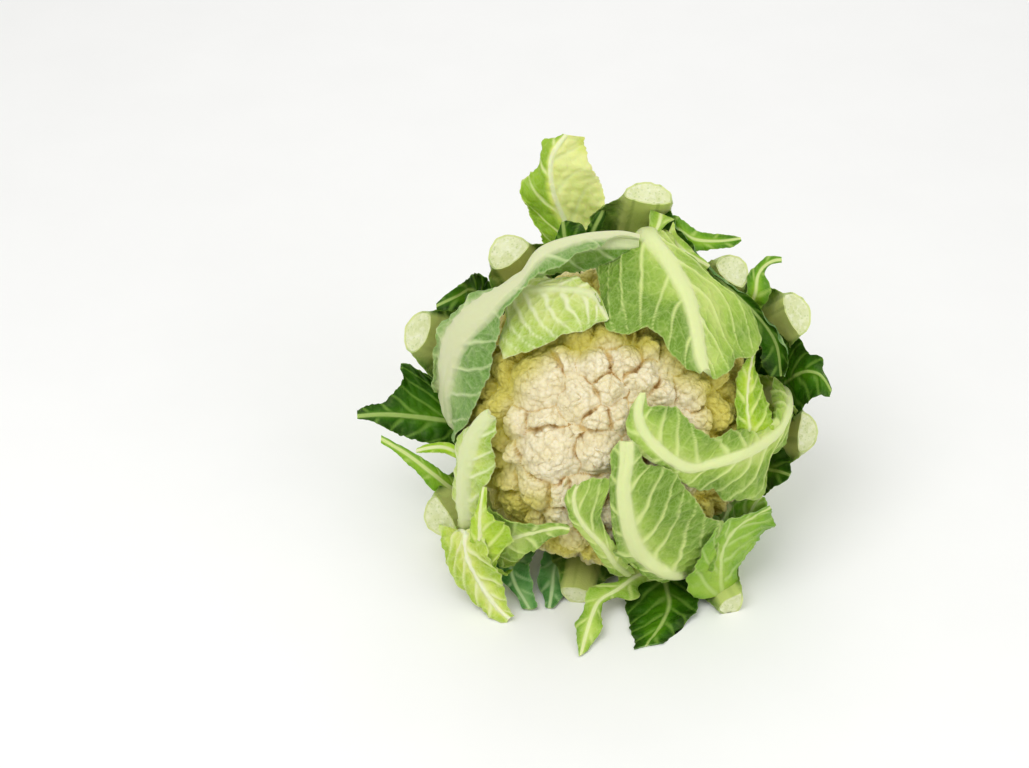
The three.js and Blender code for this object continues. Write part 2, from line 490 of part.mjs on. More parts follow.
// Each piece in turn is cut clear of the surface below and of the pieces before it.
let taken = underSurface(head);
for (const { name, color, make } of pieces) {
  const shape = largestBody(make(0).subtract(taken));
  taken = taken.add(make(GAP));
  const material = new THREE.MeshStandardMaterial({ color, roughness: 0.6, metalness: 0 });
  const mesh = new THREE.Mesh(geometryOf(shape), material);
  mesh.name = name;
  head.add(mesh);
}

const part = new THREE.Group();
part.add(head);
export default part;
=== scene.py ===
from math import atan2, ceil, cos, hypot, pi, radians, sin, sqrt
import bmesh
import bpy
import numpy as np
from mathutils import Matrix, Vector, kdtree


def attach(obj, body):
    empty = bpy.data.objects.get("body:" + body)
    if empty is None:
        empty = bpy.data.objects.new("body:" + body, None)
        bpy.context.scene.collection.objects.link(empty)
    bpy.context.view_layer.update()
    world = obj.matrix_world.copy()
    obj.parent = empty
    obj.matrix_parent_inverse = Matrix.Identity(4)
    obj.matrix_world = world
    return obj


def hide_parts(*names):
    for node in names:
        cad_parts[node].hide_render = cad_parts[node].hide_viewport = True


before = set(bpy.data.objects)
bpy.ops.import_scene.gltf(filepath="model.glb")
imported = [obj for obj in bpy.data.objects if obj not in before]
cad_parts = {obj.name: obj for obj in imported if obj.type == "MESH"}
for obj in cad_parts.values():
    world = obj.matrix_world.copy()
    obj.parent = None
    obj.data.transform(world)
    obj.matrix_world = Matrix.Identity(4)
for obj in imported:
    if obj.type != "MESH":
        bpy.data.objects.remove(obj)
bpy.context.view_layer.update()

# ---------------------------------------------------------------------------------------------
# The stem: the short woody trunk that carries the curd and every leaf. It is solid pale green
# flesh, cut off square with a knife, and the cut has dried to a straw colour.
# ---------------------------------------------------------------------------------------------
MM = 0.001
LEAN = radians(54.3)            # how far the head's axis leans from upright
HEAD_SEAT = Vector((13.1, -16.2, 90)) * MM
HEAD = Matrix.Translation(HEAD_SEAT) @ Matrix.Rotation(LEAN, 4, "X") @ Matrix.Scale(MM, 4)
STEM_TOP, STEM_BUTT = -60, -119          # millimetres along that axis, as all places on the head are
STEM_RADIUS, STEM_Y = 24, -2
BUTT_LIP, BUTT_DISH = 1.6, 0.5          # the skin's width round the cut, and how far the cut shrank
KNOBS, KNOB_TWIST, KNOB_HEIGHT = 5, 0.22, 0.035
SHARP = radians(62)                     # edges sharper than this stay creased
FLESH, DEEP_FLESH, FIBRE, DRY_FLESH = "#E2E6BA", "#D0D79C", "#AFC070", "#EEF0D2"
STEM_GREEN, DEEP_STEM_GREEN, SCAR = "#D6DEAE", "#BCCB80", "#D8C99A"
COLOURS = {"data_type": "RGBA"}


def linear(code):
    """An sRGB hex colour as the linear RGBA that shader sockets hold."""
    channels = [int(code[i:i + 2], 16) / 255 for i in (1, 3, 5)]
    return [c / 12.92 if c <= 0.04045 else ((c + 0.055) / 1.055) ** 2.4 for c in channels] + [1]


def add_node(tree, kind, output=None, settings=None, **inputs):
    """Adds a node and hands back its output: settings are its own properties, inputs are
    values or sockets, by name or by _number."""
    node = tree.nodes.new(kind)
    for name, value in (settings or {}).items():
        setattr(node, name, value)
    for name, value in inputs.items():
        socket = node.inputs[int(name[1:]) if name[1:].isdigit() else name.replace("_", " ")]
        if isinstance(value, bpy.types.NodeSocket):
            tree.links.new(value, socket)
        else:
            socket.default_value = value
    return node if output is None else node.outputs[output]


def new_finish(name):
    """An empty material with its shader, and its coordinates in metres on the object."""
    material = bpy.data.materials.new(name)
    material.use_nodes = True
    tree = material.node_tree
    tree.nodes.clear()
    shader = add_node(tree, "ShaderNodeBsdfPrincipled")
    add_node(tree, "ShaderNodeOutputMaterial", Surface=shader.outputs["BSDF"])
    return material, tree, shader, add_node(tree, "ShaderNodeTexCoord", "Object")


def soften(shader, weight, scale_mm, radius):
    """Light enters the flesh and comes out scale_mm away, further in some colours."""
    shader.inputs["Subsurface Weight"].default_value = weight
    shader.inputs["Subsurface Scale"].default_value = scale_mm * MM
    shader.inputs["Subsurface Radius"].default_value = radius


def cut_flesh_finish():
    """Flesh of a leaf stalk cut with a knife: wet, pale, with the cut ends of its fibres as dots."""
    material, tree, shader, place = new_finish("cut stalk flesh")
    clouds = add_node(tree, "ShaderNodeTexNoise", "Fac", Vector=place, Scale=1 / (6 * MM), Detail=4)
    cloudy = add_node(tree, "ShaderNodeMapRange", 0, Value=clouds, From_Min=0.35, From_Max=0.65)
    flesh = add_node(tree, "ShaderNodeMix", 2, COLOURS, _0=cloudy, _6=linear(FLESH),
                     _7=linear(DEEP_FLESH))
    fibres = add_node(tree, "ShaderNodeTexVoronoi", "Distance", Vector=place, Scale=1 / (1.7 * MM))
    dots = add_node(tree, "ShaderNodeMapRange", 0, Value=fibres, From_Min=0.16, From_Max=0.34,
                    To_Min=0.5, To_Max=0)
    dotted = add_node(tree, "ShaderNodeMix", 2, COLOURS, _0=dots, _6=flesh, _7=linear(FIBRE))
    grit = add_node(tree, "ShaderNodeTexNoise", "Fac", Vector=place, Scale=1 / (2.2 * MM), Detail=6)
    specks = add_node(tree, "ShaderNodeMapRange", 0, Value=grit, From_Min=0.5, From_Max=0.62,
                      To_Max=0.5)
    bare = add_node(tree, "ShaderNodeMix", 2, COLOURS, _0=specks, _6=dotted, _7=linear(DRY_FLESH))
    tree.links.new(bare, shader.inputs["Base Color"])
    wet = add_node(tree, "ShaderNodeMapRange", 0, Value=clouds, From_Min=0.3, From_Max=0.7,
                   To_Min=0.32, To_Max=0.55)
    tree.links.new(wet, shader.inputs["Roughness"])
    relief = add_node(tree, "ShaderNodeMath", 0, _0=dots, _1=specks)
    bump = add_node(tree, "ShaderNodeBump", 0, Height=relief, Distance=0.3 * MM, Strength=0.7)
    tree.links.new(bump, shader.inputs["Normal"])
    soften(shader, 0.35, 2.5, (1.0, 0.9, 0.4))
    return material


def stem_finish():
    """Skin of the trunk: smooth waxy pale green, streaked along, with straw-coloured leaf scars."""
    material, tree, shader, place = new_finish("waxy stem skin")
    drawn = add_node(tree, "ShaderNodeMapping", 0, {"vector_type": "POINT"}, Vector=place,
                     Rotation=(-LEAN, 0, 0), Scale=(1, 1, 0.15))
    streaks = add_node(tree, "ShaderNodeTexNoise", "Fac", Vector=drawn, Scale=1 / (4 * MM), Detail=4)
    streaky = add_node(tree, "ShaderNodeMapRange", 0, Value=streaks, From_Min=0.35, From_Max=0.65)
    skin = add_node(tree, "ShaderNodeMix", 2, COLOURS, _0=streaky, _6=linear(STEM_GREEN),
                    _7=linear(DEEP_STEM_GREEN))
    patches = add_node(tree, "ShaderNodeTexNoise", "Fac", Vector=place, Scale=1 / (9 * MM), Detail=6)
    scars = add_node(tree, "ShaderNodeMapRange", 0, Value=patches, From_Min=0.56, From_Max=0.68)
    scarred = add_node(tree, "ShaderNodeMix", 2, COLOURS, _0=scars, _6=skin, _7=linear(SCAR))
    tree.links.new(scarred, shader.inputs["Base Color"])
    shader.inputs["Roughness"].default_value = 0.5
    bump = add_node(tree, "ShaderNodeBump", 0, Height=streaky, Distance=0.4 * MM, Strength=0.6)
    tree.links.new(bump, shader.inputs["Normal"])
    soften(shader, 0.25, 2.5, (1.0, 0.9, 0.4))
    return material


def finished_piece(name, bm, finishes):
    """Seats a shape made in the head's frame, in millimetres, and lets it stand for its node."""
    bmesh.ops.transform(bm, matrix=HEAD, verts=bm.verts)
    for vert in bm.verts:
        vert.co.z = max(vert.co.z, 0.0)
    mesh = bpy.data.meshes.new(name + "_skin")
    bm.to_mesh(mesh)
    bm.free()
    for finish in finishes:
        mesh.materials.append(finish)
    mesh.polygons.foreach_set("use_smooth", np.ones(len(mesh.polygons), bool))
    mesh.set_sharp_from_angle(angle=SHARP)
    piece = bpy.data.objects.new(name + "_skin", mesh)
    bpy.context.scene.collection.objects.link(piece)
    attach(piece, "root")
    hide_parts(name)


CUT_FLESH = cut_flesh_finish()
STEM_SKIN = stem_finish()


def make_stem():
    """A barrel with knobs where leaves sat, narrowed a little to its flat butt."""
    bm = bmesh.new()
    bmesh.ops.create_cone(bm, cap_ends=True, segments=96, radius1=STEM_RADIUS, radius2=STEM_RADIUS,
                          depth=STEM_TOP - STEM_BUTT)
    bmesh.ops.translate(bm, vec=(0, STEM_Y, (STEM_TOP + STEM_BUTT) / 2), verts=bm.verts)
    sides = [e for e in bm.edges if abs(e.verts[0].co.z - e.verts[1].co.z) > 1]
    bmesh.ops.subdivide_edges(bm, edges=sides, cuts=48, use_grid_fill=True)
    for vert in bm.verts:
        x, y, z = vert.co.x, vert.co.y - STEM_Y, vert.co.z
        turn = atan2(y, x)
        low = (STEM_TOP - z) / (STEM_TOP - STEM_BUTT)
        knob = max(0.0, sin(KNOBS * turn + KNOB_TWIST * z)) ** 2
        swell = 1 + (KNOB_HEIGHT * knob * sin(pi * low) - 0.05 * low ** 2
                     + 0.012 * sin(9 * turn + 2) * (1 - low))
        vert.co.x, vert.co.y = x * swell, STEM_Y + y * swell
    butt = [f for f in bm.faces if len(f.verts) > 8 and f.calc_center_median().z < STEM_BUTT + 1]
    bmesh.ops.inset_region(bm, faces=butt, thickness=BUTT_LIP, depth=BUTT_DISH)
    for face in butt:
        face.material_index = 1
    finished_piece("stem", bm, [STEM_SKIN, CUT_FLESH])


make_stem()

# ---------------------------------------------------------------------------------------------
# The curd: one mass of undeveloped flower buds, cream and firm. It grew as spirals within
# spirals: florets the size of a walnut, lobes on each floret, and beads on those.
# ---------------------------------------------------------------------------------------------
CURD_X, CURD_Y = -5, -8
CURD_RADIUS, CURD_EQUATOR = 75, -15
CURD_CROWN, CURD_BELLY = 63, 60         # its height above the widest place, and depth below it
CURD_EDGE, EDGE_FALL = -0.11, 1.72      # how far down the florets go, as a share and as an angle
UNDERSIDE = [(0.93, -42), (0.8, -49), (0.6, -54), (0.4, -58), (0.3, -60)]  # radius and depth
LOBE_GAP, LOBE_REACH = 6.6, 1.3
FLORET_RELIEF = (1.3, 5.4, 1.1)         # how far its outline wanders, its height and its creases'
LOBE_RELIEF = (0.5, 1.4, 0.5)           # width, in millimetres
BEAD = 2.5                              # millimetres across the buds, too fine to model
GOLDEN_TURN = pi * (3 - sqrt(5))
# BEAD_GAP_SHADE, CREASE_SHADE and DEEP_CREASE_SHADE are painted shade in the curd's gaps and creases;
# OLIVE_SHADE_AND_STAIN is painted leaf shade round its rim and also an olive-yellow stain.
CREAM, DEEP_CREAM, BEAD_GAP_SHADE, CREASE_SHADE = "#F1E8C8", "#E9DEB4", "#DFCC94", "#D2AC58"
DEEP_CREASE_SHADE, OLIVE_SHADE_AND_STAIN = "#A6772C", "#C6BC22"
FLORETS = [                             # x, y and radius on the face of the head
    (-44, 12, 13), (-23, 1, 9), (-33, 20, 8.5), (-40, -12, 9), (-38, -27, 13), (-55, -10, 8),
    (-57, -26, 6), (-14, -26, 10), (-14, -9, 7), (-8, 7, 7), (-13, 19, 8), (0, 21, 8),
    (-2, -8, 6.5), (-22, -17, 5), (10, 12, 8), (20, 5, 7.5), (28, 24, 9), (36, 6, 9),
    (40, -12, 9), (-45, -46, 10), (-31, -47, 9), (-16, -46, 10), (-60, 20, 9), (-24, 36, 9),
    (-42, 36, 9), (14, 28, 7), (50, 12, 8), (24, -14, 8), (9, -10, 7), (-6, 36, 9),
]


def sines(a, b, length, seed, count=9):
    """Smooth waves of about that length over two coordinates, from -1 to 1, the same each run."""
    draw = np.random.default_rng(seed)
    total = np.zeros(np.broadcast(a, b).shape)
    for _ in range(count):
        turn, phase, share = draw.uniform(0, 2 * pi), draw.uniform(0, 2 * pi), draw.uniform(0.7, 1.5)
        wave = 2 * pi / (length * share)
        total += np.sin(wave * (a * cos(turn) + b * sin(turn)) + phase)
    return total / (0.9 * sqrt(count * 2))


def unit(vectors):
    return vectors / np.maximum(np.linalg.norm(vectors, axis=-1, keepdims=True), 1e-9)


def on_dome(x, y):
    """The depth of the curd's plain dome under a place on the head's face."""
    share = min(1.0, hypot(x - CURD_X, y - CURD_Y) / CURD_RADIUS)
    return CURD_EQUATOR + CURD_CROWN * sqrt(1 - share * share)


def floret_seats():
    """The chosen florets, and more of them in one spiral where the leaves hide the curd."""
    draw = np.random.default_rng(5)
    seats = [(Vector((x, y, on_dome(x, y))), size) for x, y, size in FLORETS]
    for i in range(220):
        height = 1 - (i + 0.5) / 155
        round_ = sqrt(max(0.0, 1 - height * height))
        turn = i * GOLDEN_TURN
        depth = CURD_CROWN if height > 0 else CURD_BELLY
        seat = Vector((CURD_X + CURD_RADIUS * round_ * cos(turn),
                       CURD_Y + CURD_RADIUS * round_ * sin(turn), CURD_EQUATOR + depth * height))
        seat += Vector(draw.uniform(-3, 3, 3))
        size = draw.uniform(7, 11)
        if height > -0.45 and all((seat - s).length > 0.62 * (r + size) for s, r in seats):
            seats.append((seat, size))
    return seats


def spiral_seats(seats, gap, reach, seed):
    """Smaller seats round each seat, in a spiral from its middle outward, nearest their own."""
    draw = np.random.default_rng(seed)
    tree = kdtree.KDTree(len(seats))
    for i, (seat, _) in enumerate(seats):
        tree.insert(seat, i)
    tree.balance()
    middle = Vector((CURD_X, CURD_Y, CURD_EQUATOR - 20))
    smaller = []
    for i, (seat, size) in enumerate(seats):
        out = (seat - middle).normalized()
        side = out.orthogonal().normalized()
        other = out.cross(side)
        own = gap * draw.uniform(0.85, 1.15)
        for k in range(int((reach * size / own) ** 2 * 3.2) + 1):
            away = 0.54 * own * sqrt(k + 0.15)
            turn = k * GOLDEN_TURN + i * 1.7
            place = seat + side * (away * cos(turn)) + other * (away * sin(turn))
            place -= out * (0.3 * away * away / max(size, 1))
            if tree.find(place)[1] == i:
                smaller.append((place, 0.6 * own * (0.85 + 0.2 * min(1.0, away / size))
                                * draw.uniform(0.9, 1.12)))
    return smaller


def swelling(places, seats, line):
    """How deep each place lies between the balls round the seats, from 0 on top of one to 1 in
    a crease about that wide, and how much it is in a crease."""
    tree = kdtree.KDTree(len(seats))
    for i, (seat, _) in enumerate(seats):
        tree.insert(seat, i)
    tree.balance()
    sizes = np.array([size for _, size in seats])
    found = np.array([[(i, away) for _, i, away in tree.find_n(place, 6)] for place in places])
    size, away = sizes[found[..., 0].astype(int)], found[..., 1]
    ball = 1.45 * size
    tops = np.sqrt(np.maximum(ball ** 2 - away ** 2, 0)) - np.maximum(away - ball, 0)
    own = tops.argmax(axis=1)[:, None]
    bulge = np.take_along_axis(away / (1.2 * size), own, axis=1)[:, 0]
    tops.sort(axis=1)
    crease = np.exp(-((tops[:, -1] - tops[:, -2]) / line) ** 2)
    dome = np.clip(bulge, 0, 1) ** 2
    return dome + (1 - dome) * crease, crease


def curd_finish():
    """Curd: cream, dry and matt, with painted shade, tan, in its creases and between its beads, painted
    leaf shade, olive, round the rim, and an olive-yellow stain low on the left.
    """
    material, tree, shader, place = new_finish("cauliflower curd")
    crease_shade, leaf_shade_and_stain, tan = (add_node(tree, "ShaderNodeAttribute", "Fac", {"attribute_name": name})
                           for name in ("crease_shade", "leaf_shade_and_stain", "tan"))
    patches = add_node(tree, "ShaderNodeTexNoise", "Fac", Vector=place, Scale=1 / (12 * MM), Detail=4)
    patchy = add_node(tree, "ShaderNodeMapRange", 0, Value=patches, From_Min=0.35, From_Max=0.65)
    cream = add_node(tree, "ShaderNodeMix", 2, COLOURS, _0=patchy, _6=linear(CREAM),
                     _7=linear(DEEP_CREAM))
    bead = add_node(tree, "ShaderNodeTexVoronoi", "Distance", {"feature": "SMOOTH_F1"},
                    Vector=place, Scale=1 / (BEAD * MM), Randomness=0.9, Smoothness=0.12)
    # Painted shade: the cream darkens in the gaps between the beads.
    drop = add_node(tree, "ShaderNodeMath", 0, {"operation": "MULTIPLY"}, _0=bead, _1=bead)
    bead_gap_shade = add_node(tree, "ShaderNodeMapRange", 0, Value=drop, From_Min=0.12, From_Max=0.4,
                    To_Min=0, To_Max=0.25)
    beaded = add_node(tree, "ShaderNodeMix", 2, COLOURS, _0=bead_gap_shade, _6=cream, _7=linear(BEAD_GAP_SHADE))
    # Painted shade: the colour darkens towards CREASE_SHADE down in the creases between florets and
    # lobes.
    deep = add_node(tree, "ShaderNodeMapRange", 0, Value=crease_shade, From_Min=0.1, From_Max=0.95,
                    To_Max=0.75)
    creased = add_node(tree, "ShaderNodeMix", 2, COLOURS, _0=deep, _6=beaded, _7=linear(CREASE_SHADE))
    # Painted shade: tan patches deepest in the creases between florets.
    crease_darkened = add_node(tree, "ShaderNodeMix", 2, COLOURS, _0=tan, _6=creased, _7=linear(DEEP_CREASE_SHADE))
    # Painted leaf shade, olive, round the rim under the leaves; the same olive is a real stain low on
    # the left.
    olive = add_node(tree, "ShaderNodeMix", 2, COLOURS, _0=leaf_shade_and_stain, _6=crease_darkened, _7=linear(OLIVE_SHADE_AND_STAIN))
    tree.links.new(olive, shader.inputs["Base Color"])
    shader.inputs["Roughness"].default_value = 0.7
    shader.inputs["Specular IOR Level"].default_value = 0.35
    bump = add_node(tree, "ShaderNodeBump", 0, {"invert": True}, Height=drop, Distance=BEAD * MM,
                    Strength=0.65)
    tree.links.new(bump, shader.inputs["Normal"])
    soften(shader, 0.45, 3.5, (1.0, 0.9, 0.6))
    return material


def make_curd():
    """A ball with its lower part cut away, swelled into florets and then into their lobes."""
    bm = bmesh.new()
    bmesh.ops.create_icosphere(bm, subdivisions=8, radius=1)
    bmesh.ops.bisect_plane(bm, geom=bm.verts[:] + bm.edges[:] + bm.faces[:],
                           plane_co=(0, 0, CURD_EDGE), plane_no=(0, 0, 1), clear_inner=True)
    for vert in bm.verts:
        x, y, z = vert.co
        fall = atan2(hypot(x, y), z) / EDGE_FALL
        fall = 1.3 * fall + 0.65 * fall ** 3
        turn = atan2(y, x)
        x, y, z = sin(fall) * cos(turn), sin(fall) * sin(turn), cos(fall)
        vert.co = (CURD_X + x * CURD_RADIUS, CURD_Y + y * CURD_RADIUS,
                   CURD_EQUATOR + z * (CURD_CROWN if z > 0 else CURD_BELLY))
    mesh = bpy.data.meshes.new("curd_shape")
    bm.to_mesh(mesh)
    count = len(mesh.vertices)
    places, normals = np.empty(count * 3), np.empty(count * 3)
    mesh.vertices.foreach_get("co", places)
    flat = places.reshape(-1, 3).copy()
    x, y, z = flat[:, 0], flat[:, 1], flat[:, 2]
    sway = np.stack([sines(x + 0.7 * z, y, 13, 21), sines(x, y + 0.7 * z, 13, 22),
                     sines(x, y - 0.7 * z, 13, 23)], 1)
    florets = floret_seats()
    lobes = spiral_seats(florets, LOBE_GAP, LOBE_REACH, seed=1)
    creases = []
    mesh.vertex_normals.foreach_get("vector", normals)
    plain = normals.reshape(-1, 3).copy()
    for seats, (wander, height, line) in ((florets, FLORET_RELIEF), (lobes, LOBE_RELIEF)):
        mesh.vertices.foreach_get("co", places)
        mesh.vertex_normals.foreach_get("vector", normals)
        drop, crease = swelling(flat + wander * sway, seats, line)
        creases.append(crease ** 2)
        way = unit(plain + normals.reshape(-1, 3))
        places -= (way * (height * drop)[:, None]).ravel()
        mesh.vertices.foreach_set("co", places)
        mesh.update()
    # Painted shade: how deep each place lies in the creases, which darkens the colour there.
    crease_shade = np.clip(0.9 * creases[0] + 0.22 * creases[1], 0, 1)
    # Painted leaf shade: olive towards the rim of the face where the leaves lie over it, with a real
    # olive-yellow stain in a patch low on the left, less of both lower down.
    shaded = np.hypot((x + 8) / 50, (y + 14) / np.where(y > -14, 42, 60))
    leaf_shade_and_stain = 0.8 * np.clip((shaded - 0.84) / 0.24 + 0.2 * sines(x, y, 24, 3), 0, 1)
    low_left = np.clip(1.3 - np.hypot((x + 46) / 15, (y + 50) / 9), 0, 1)
    leaf_shade_and_stain = np.maximum(leaf_shade_and_stain, low_left * 0.7)
    leaf_shade_and_stain *= np.clip((z + 25) / 30, 0.3, 1)
    # Painted shade in patches deep in the floret creases.
    tan = 0.85 * creases[0] * np.clip(2.4 * sines(x, y, 9, 8) - 0.6, 0, 1)
    for name, values in (("crease_shade", crease_shade), ("leaf_shade_and_stain", leaf_shade_and_stain), ("tan", tan)):
        mesh.attributes.new(name, "FLOAT", "POINT").data.foreach_set("value", values)
    bm.clear()
    bm.from_mesh(mesh)
    bpy.data.meshes.remove(mesh)
    for _ in range(2):
        bmesh.ops.smooth_vert(bm, verts=bm.verts, factor=0.5)
    rim = [e for e in bm.edges if e.is_boundary]
    for shrink, depth in UNDERSIDE:
        grown = bmesh.ops.extrude_edge_only(bm, edges=rim)["geom"]
        for vert in (g for g in grown if isinstance(g, bmesh.types.BMVert)):
            turn = atan2(vert.co.y - CURD_Y, vert.co.x - CURD_X)
            reach = CURD_RADIUS * shrink * (1 + 0.02 * sin(9 * turn))
            vert.co = (CURD_X + reach * cos(turn), CURD_Y + reach * sin(turn), depth)
        rim = [g for g in grown if isinstance(g, bmesh.types.BMEdge)]
    bmesh.ops.holes_fill(bm, edges=rim, sides=0)
    bmesh.ops.recalc_face_normals(bm, faces=bm.faces)
    finished_piece("curd", bm, [curd_finish()])


make_curd()

# ---------------------------------------------------------------------------------------------
# The cut leaf stalks: thick fleshy ribs of the outermost leaves, sliced off short when the head
# was trimmed. Each is flat inside and rounded outside, with strips of its dark blade left on.
# ---------------------------------------------------------------------------------------------
EYE = Vector((-51, 8, 1073))            # plan places are those seen from here, on the head's axis
LEAF_STEP, STALK_STEP = 0.9, 1.3        # millimetres between the rows and columns of a skin
NET_SIZE, NET_LINE = 6.5, 0.55          # across one cell of the vein net, and its lines
OUTER, INNER = 1, -1                    # the side of a leaf that faces out
WING_CURL = 0.25                        # how far strips of blade curl forward for their reach
WING_SHARES = (0.5, 1, 1, 0.95, 0)      # of that reach, from the stem to the cut


def plan(x, y, z):
    """The place in the head's frame of a plan place at depth z."""
    pull = z / EYE.z
    return (x + (EYE.x - x) * pull, y + (EYE.y - y) * pull, z)


def smooth_line(places, count, reach=1.0):
    """Evenly spaced points on a smooth line through plan places, over reach of its length."""
    p = np.array([plan(*place) for place in places], float)
    p = np.vstack([2 * p[0] - p[1], p, 2 * p[-1] - p[-2]])
    knots = np.concatenate([[0], np.cumsum(np.linalg.norm(np.diff(p, axis=0), axis=1) ** 0.5)])
    dense = []
    for i in range(1, len(p) - 2):
        t = np.linspace(knots[i], knots[i + 1], 24, endpoint=False)[:, None]
        near = [((knots[k + 1] - t) * p[k] + (t - knots[k]) * p[k + 1]) / (knots[k + 1] - knots[k])
                for k in (i - 1, i, i + 1)]
        wide = [((knots[k + 2] - t) * near[j] + (t - knots[k]) * near[j + 1])
                / (knots[k + 2] - knots[k]) for j, k in enumerate((i - 1, i))]
        dense.append(((knots[i + 1] - t) * wide[0] + (t - knots[i]) * wide[1])
                     / (knots[i + 1] - knots[i]))
    dense = np.vstack(dense + [p[-2:-1]])
    run = np.concatenate([[0], np.cumsum(np.linalg.norm(np.diff(dense, axis=0), axis=1))])
    stops = np.linspace(0, run[-1] * reach, count + 1)
    return np.stack([np.interp(stops, run, dense[:, k]) for k in range(3)], 1), run[-1] * reach


def clear_of_curd(places, space=1.3):
    """Places on a leaf, moved out where they would lie in the curd, so the leaf hugs it."""
    middle = np.array([CURD_X, CURD_Y, CURD_EQUATOR], float)
    out = places - middle
    room = CURD_RADIUS + space
    height = np.where(out[..., 2] > 0, CURD_CROWN + space, CURD_BELLY)
    depth = np.sqrt((out[..., 0] / room) ** 2 + (out[..., 1] / room) ** 2
                    + (out[..., 2] / height) ** 2)
    push = np.where(out[..., 2] > -22, 1 / np.clip(depth, 0.6, 1), 1)
    return middle + out * push[..., None]


def vein_field(along, across, width, gap, slope, seed):
    """Side veins that leave the rib, arch towards the tip and fork: 1 on a vein, 0 between."""
    away = np.abs(across)
    share = np.clip(away / np.maximum(width, 1), 0, 1)
    side = np.where(across < 0, 0.0, 0.45)
    wander = 2.4 * sines(along, across, 40, seed) + 0.7 * sines(along, across, 11, seed + 1)
    veins = np.zeros(share.shape)
    for spacing, lean, bend, start, strength in (
            (gap, slope, 0.012, 0.0, 1.0), (gap * 0.55, slope * 0.2, 0.0, 0.35, 0.4)):
        count = (along - lean * away - bend * away * away + wander) / spacing + side
        off = np.abs(count - np.round(count)) * spacing * 0.72
        thick = 0.85 + 0.5 * (1 - share) * strength
        ramp = np.clip((share - start) / 0.3, 0, 1) if start else 1.0
        veins = np.maximum(veins, np.exp(-(off / thick) ** 2) * strength * ramp * (1 - 0.45 * share))
    return veins


def net_field(along, across, size, seed):
    """The net of fine veins: distances to the line between each two neighbouring cells."""
    draw = np.random.default_rng(seed)
    tops, reach = int(along.max() / size) + 3, int(np.abs(across).max() / size) + 3
    tree = kdtree.KDTree(tops * 2 * reach)
    for i in range(tops):
        for k in range(-reach, reach):
            spot = ((i + draw.uniform(-0.4, 0.4)) * size,
                    (k + 0.5 * (i % 2) + draw.uniform(-0.4, 0.4)) * size, 0)
            tree.insert(spot, 0)
    tree.balance()
    gaps = [tree.find_n((s, w, 0), 2) for s, w in zip(along.ravel(), across.ravel())]
    return np.array([far[2] - near[2] for near, far in gaps]).reshape(along.shape)


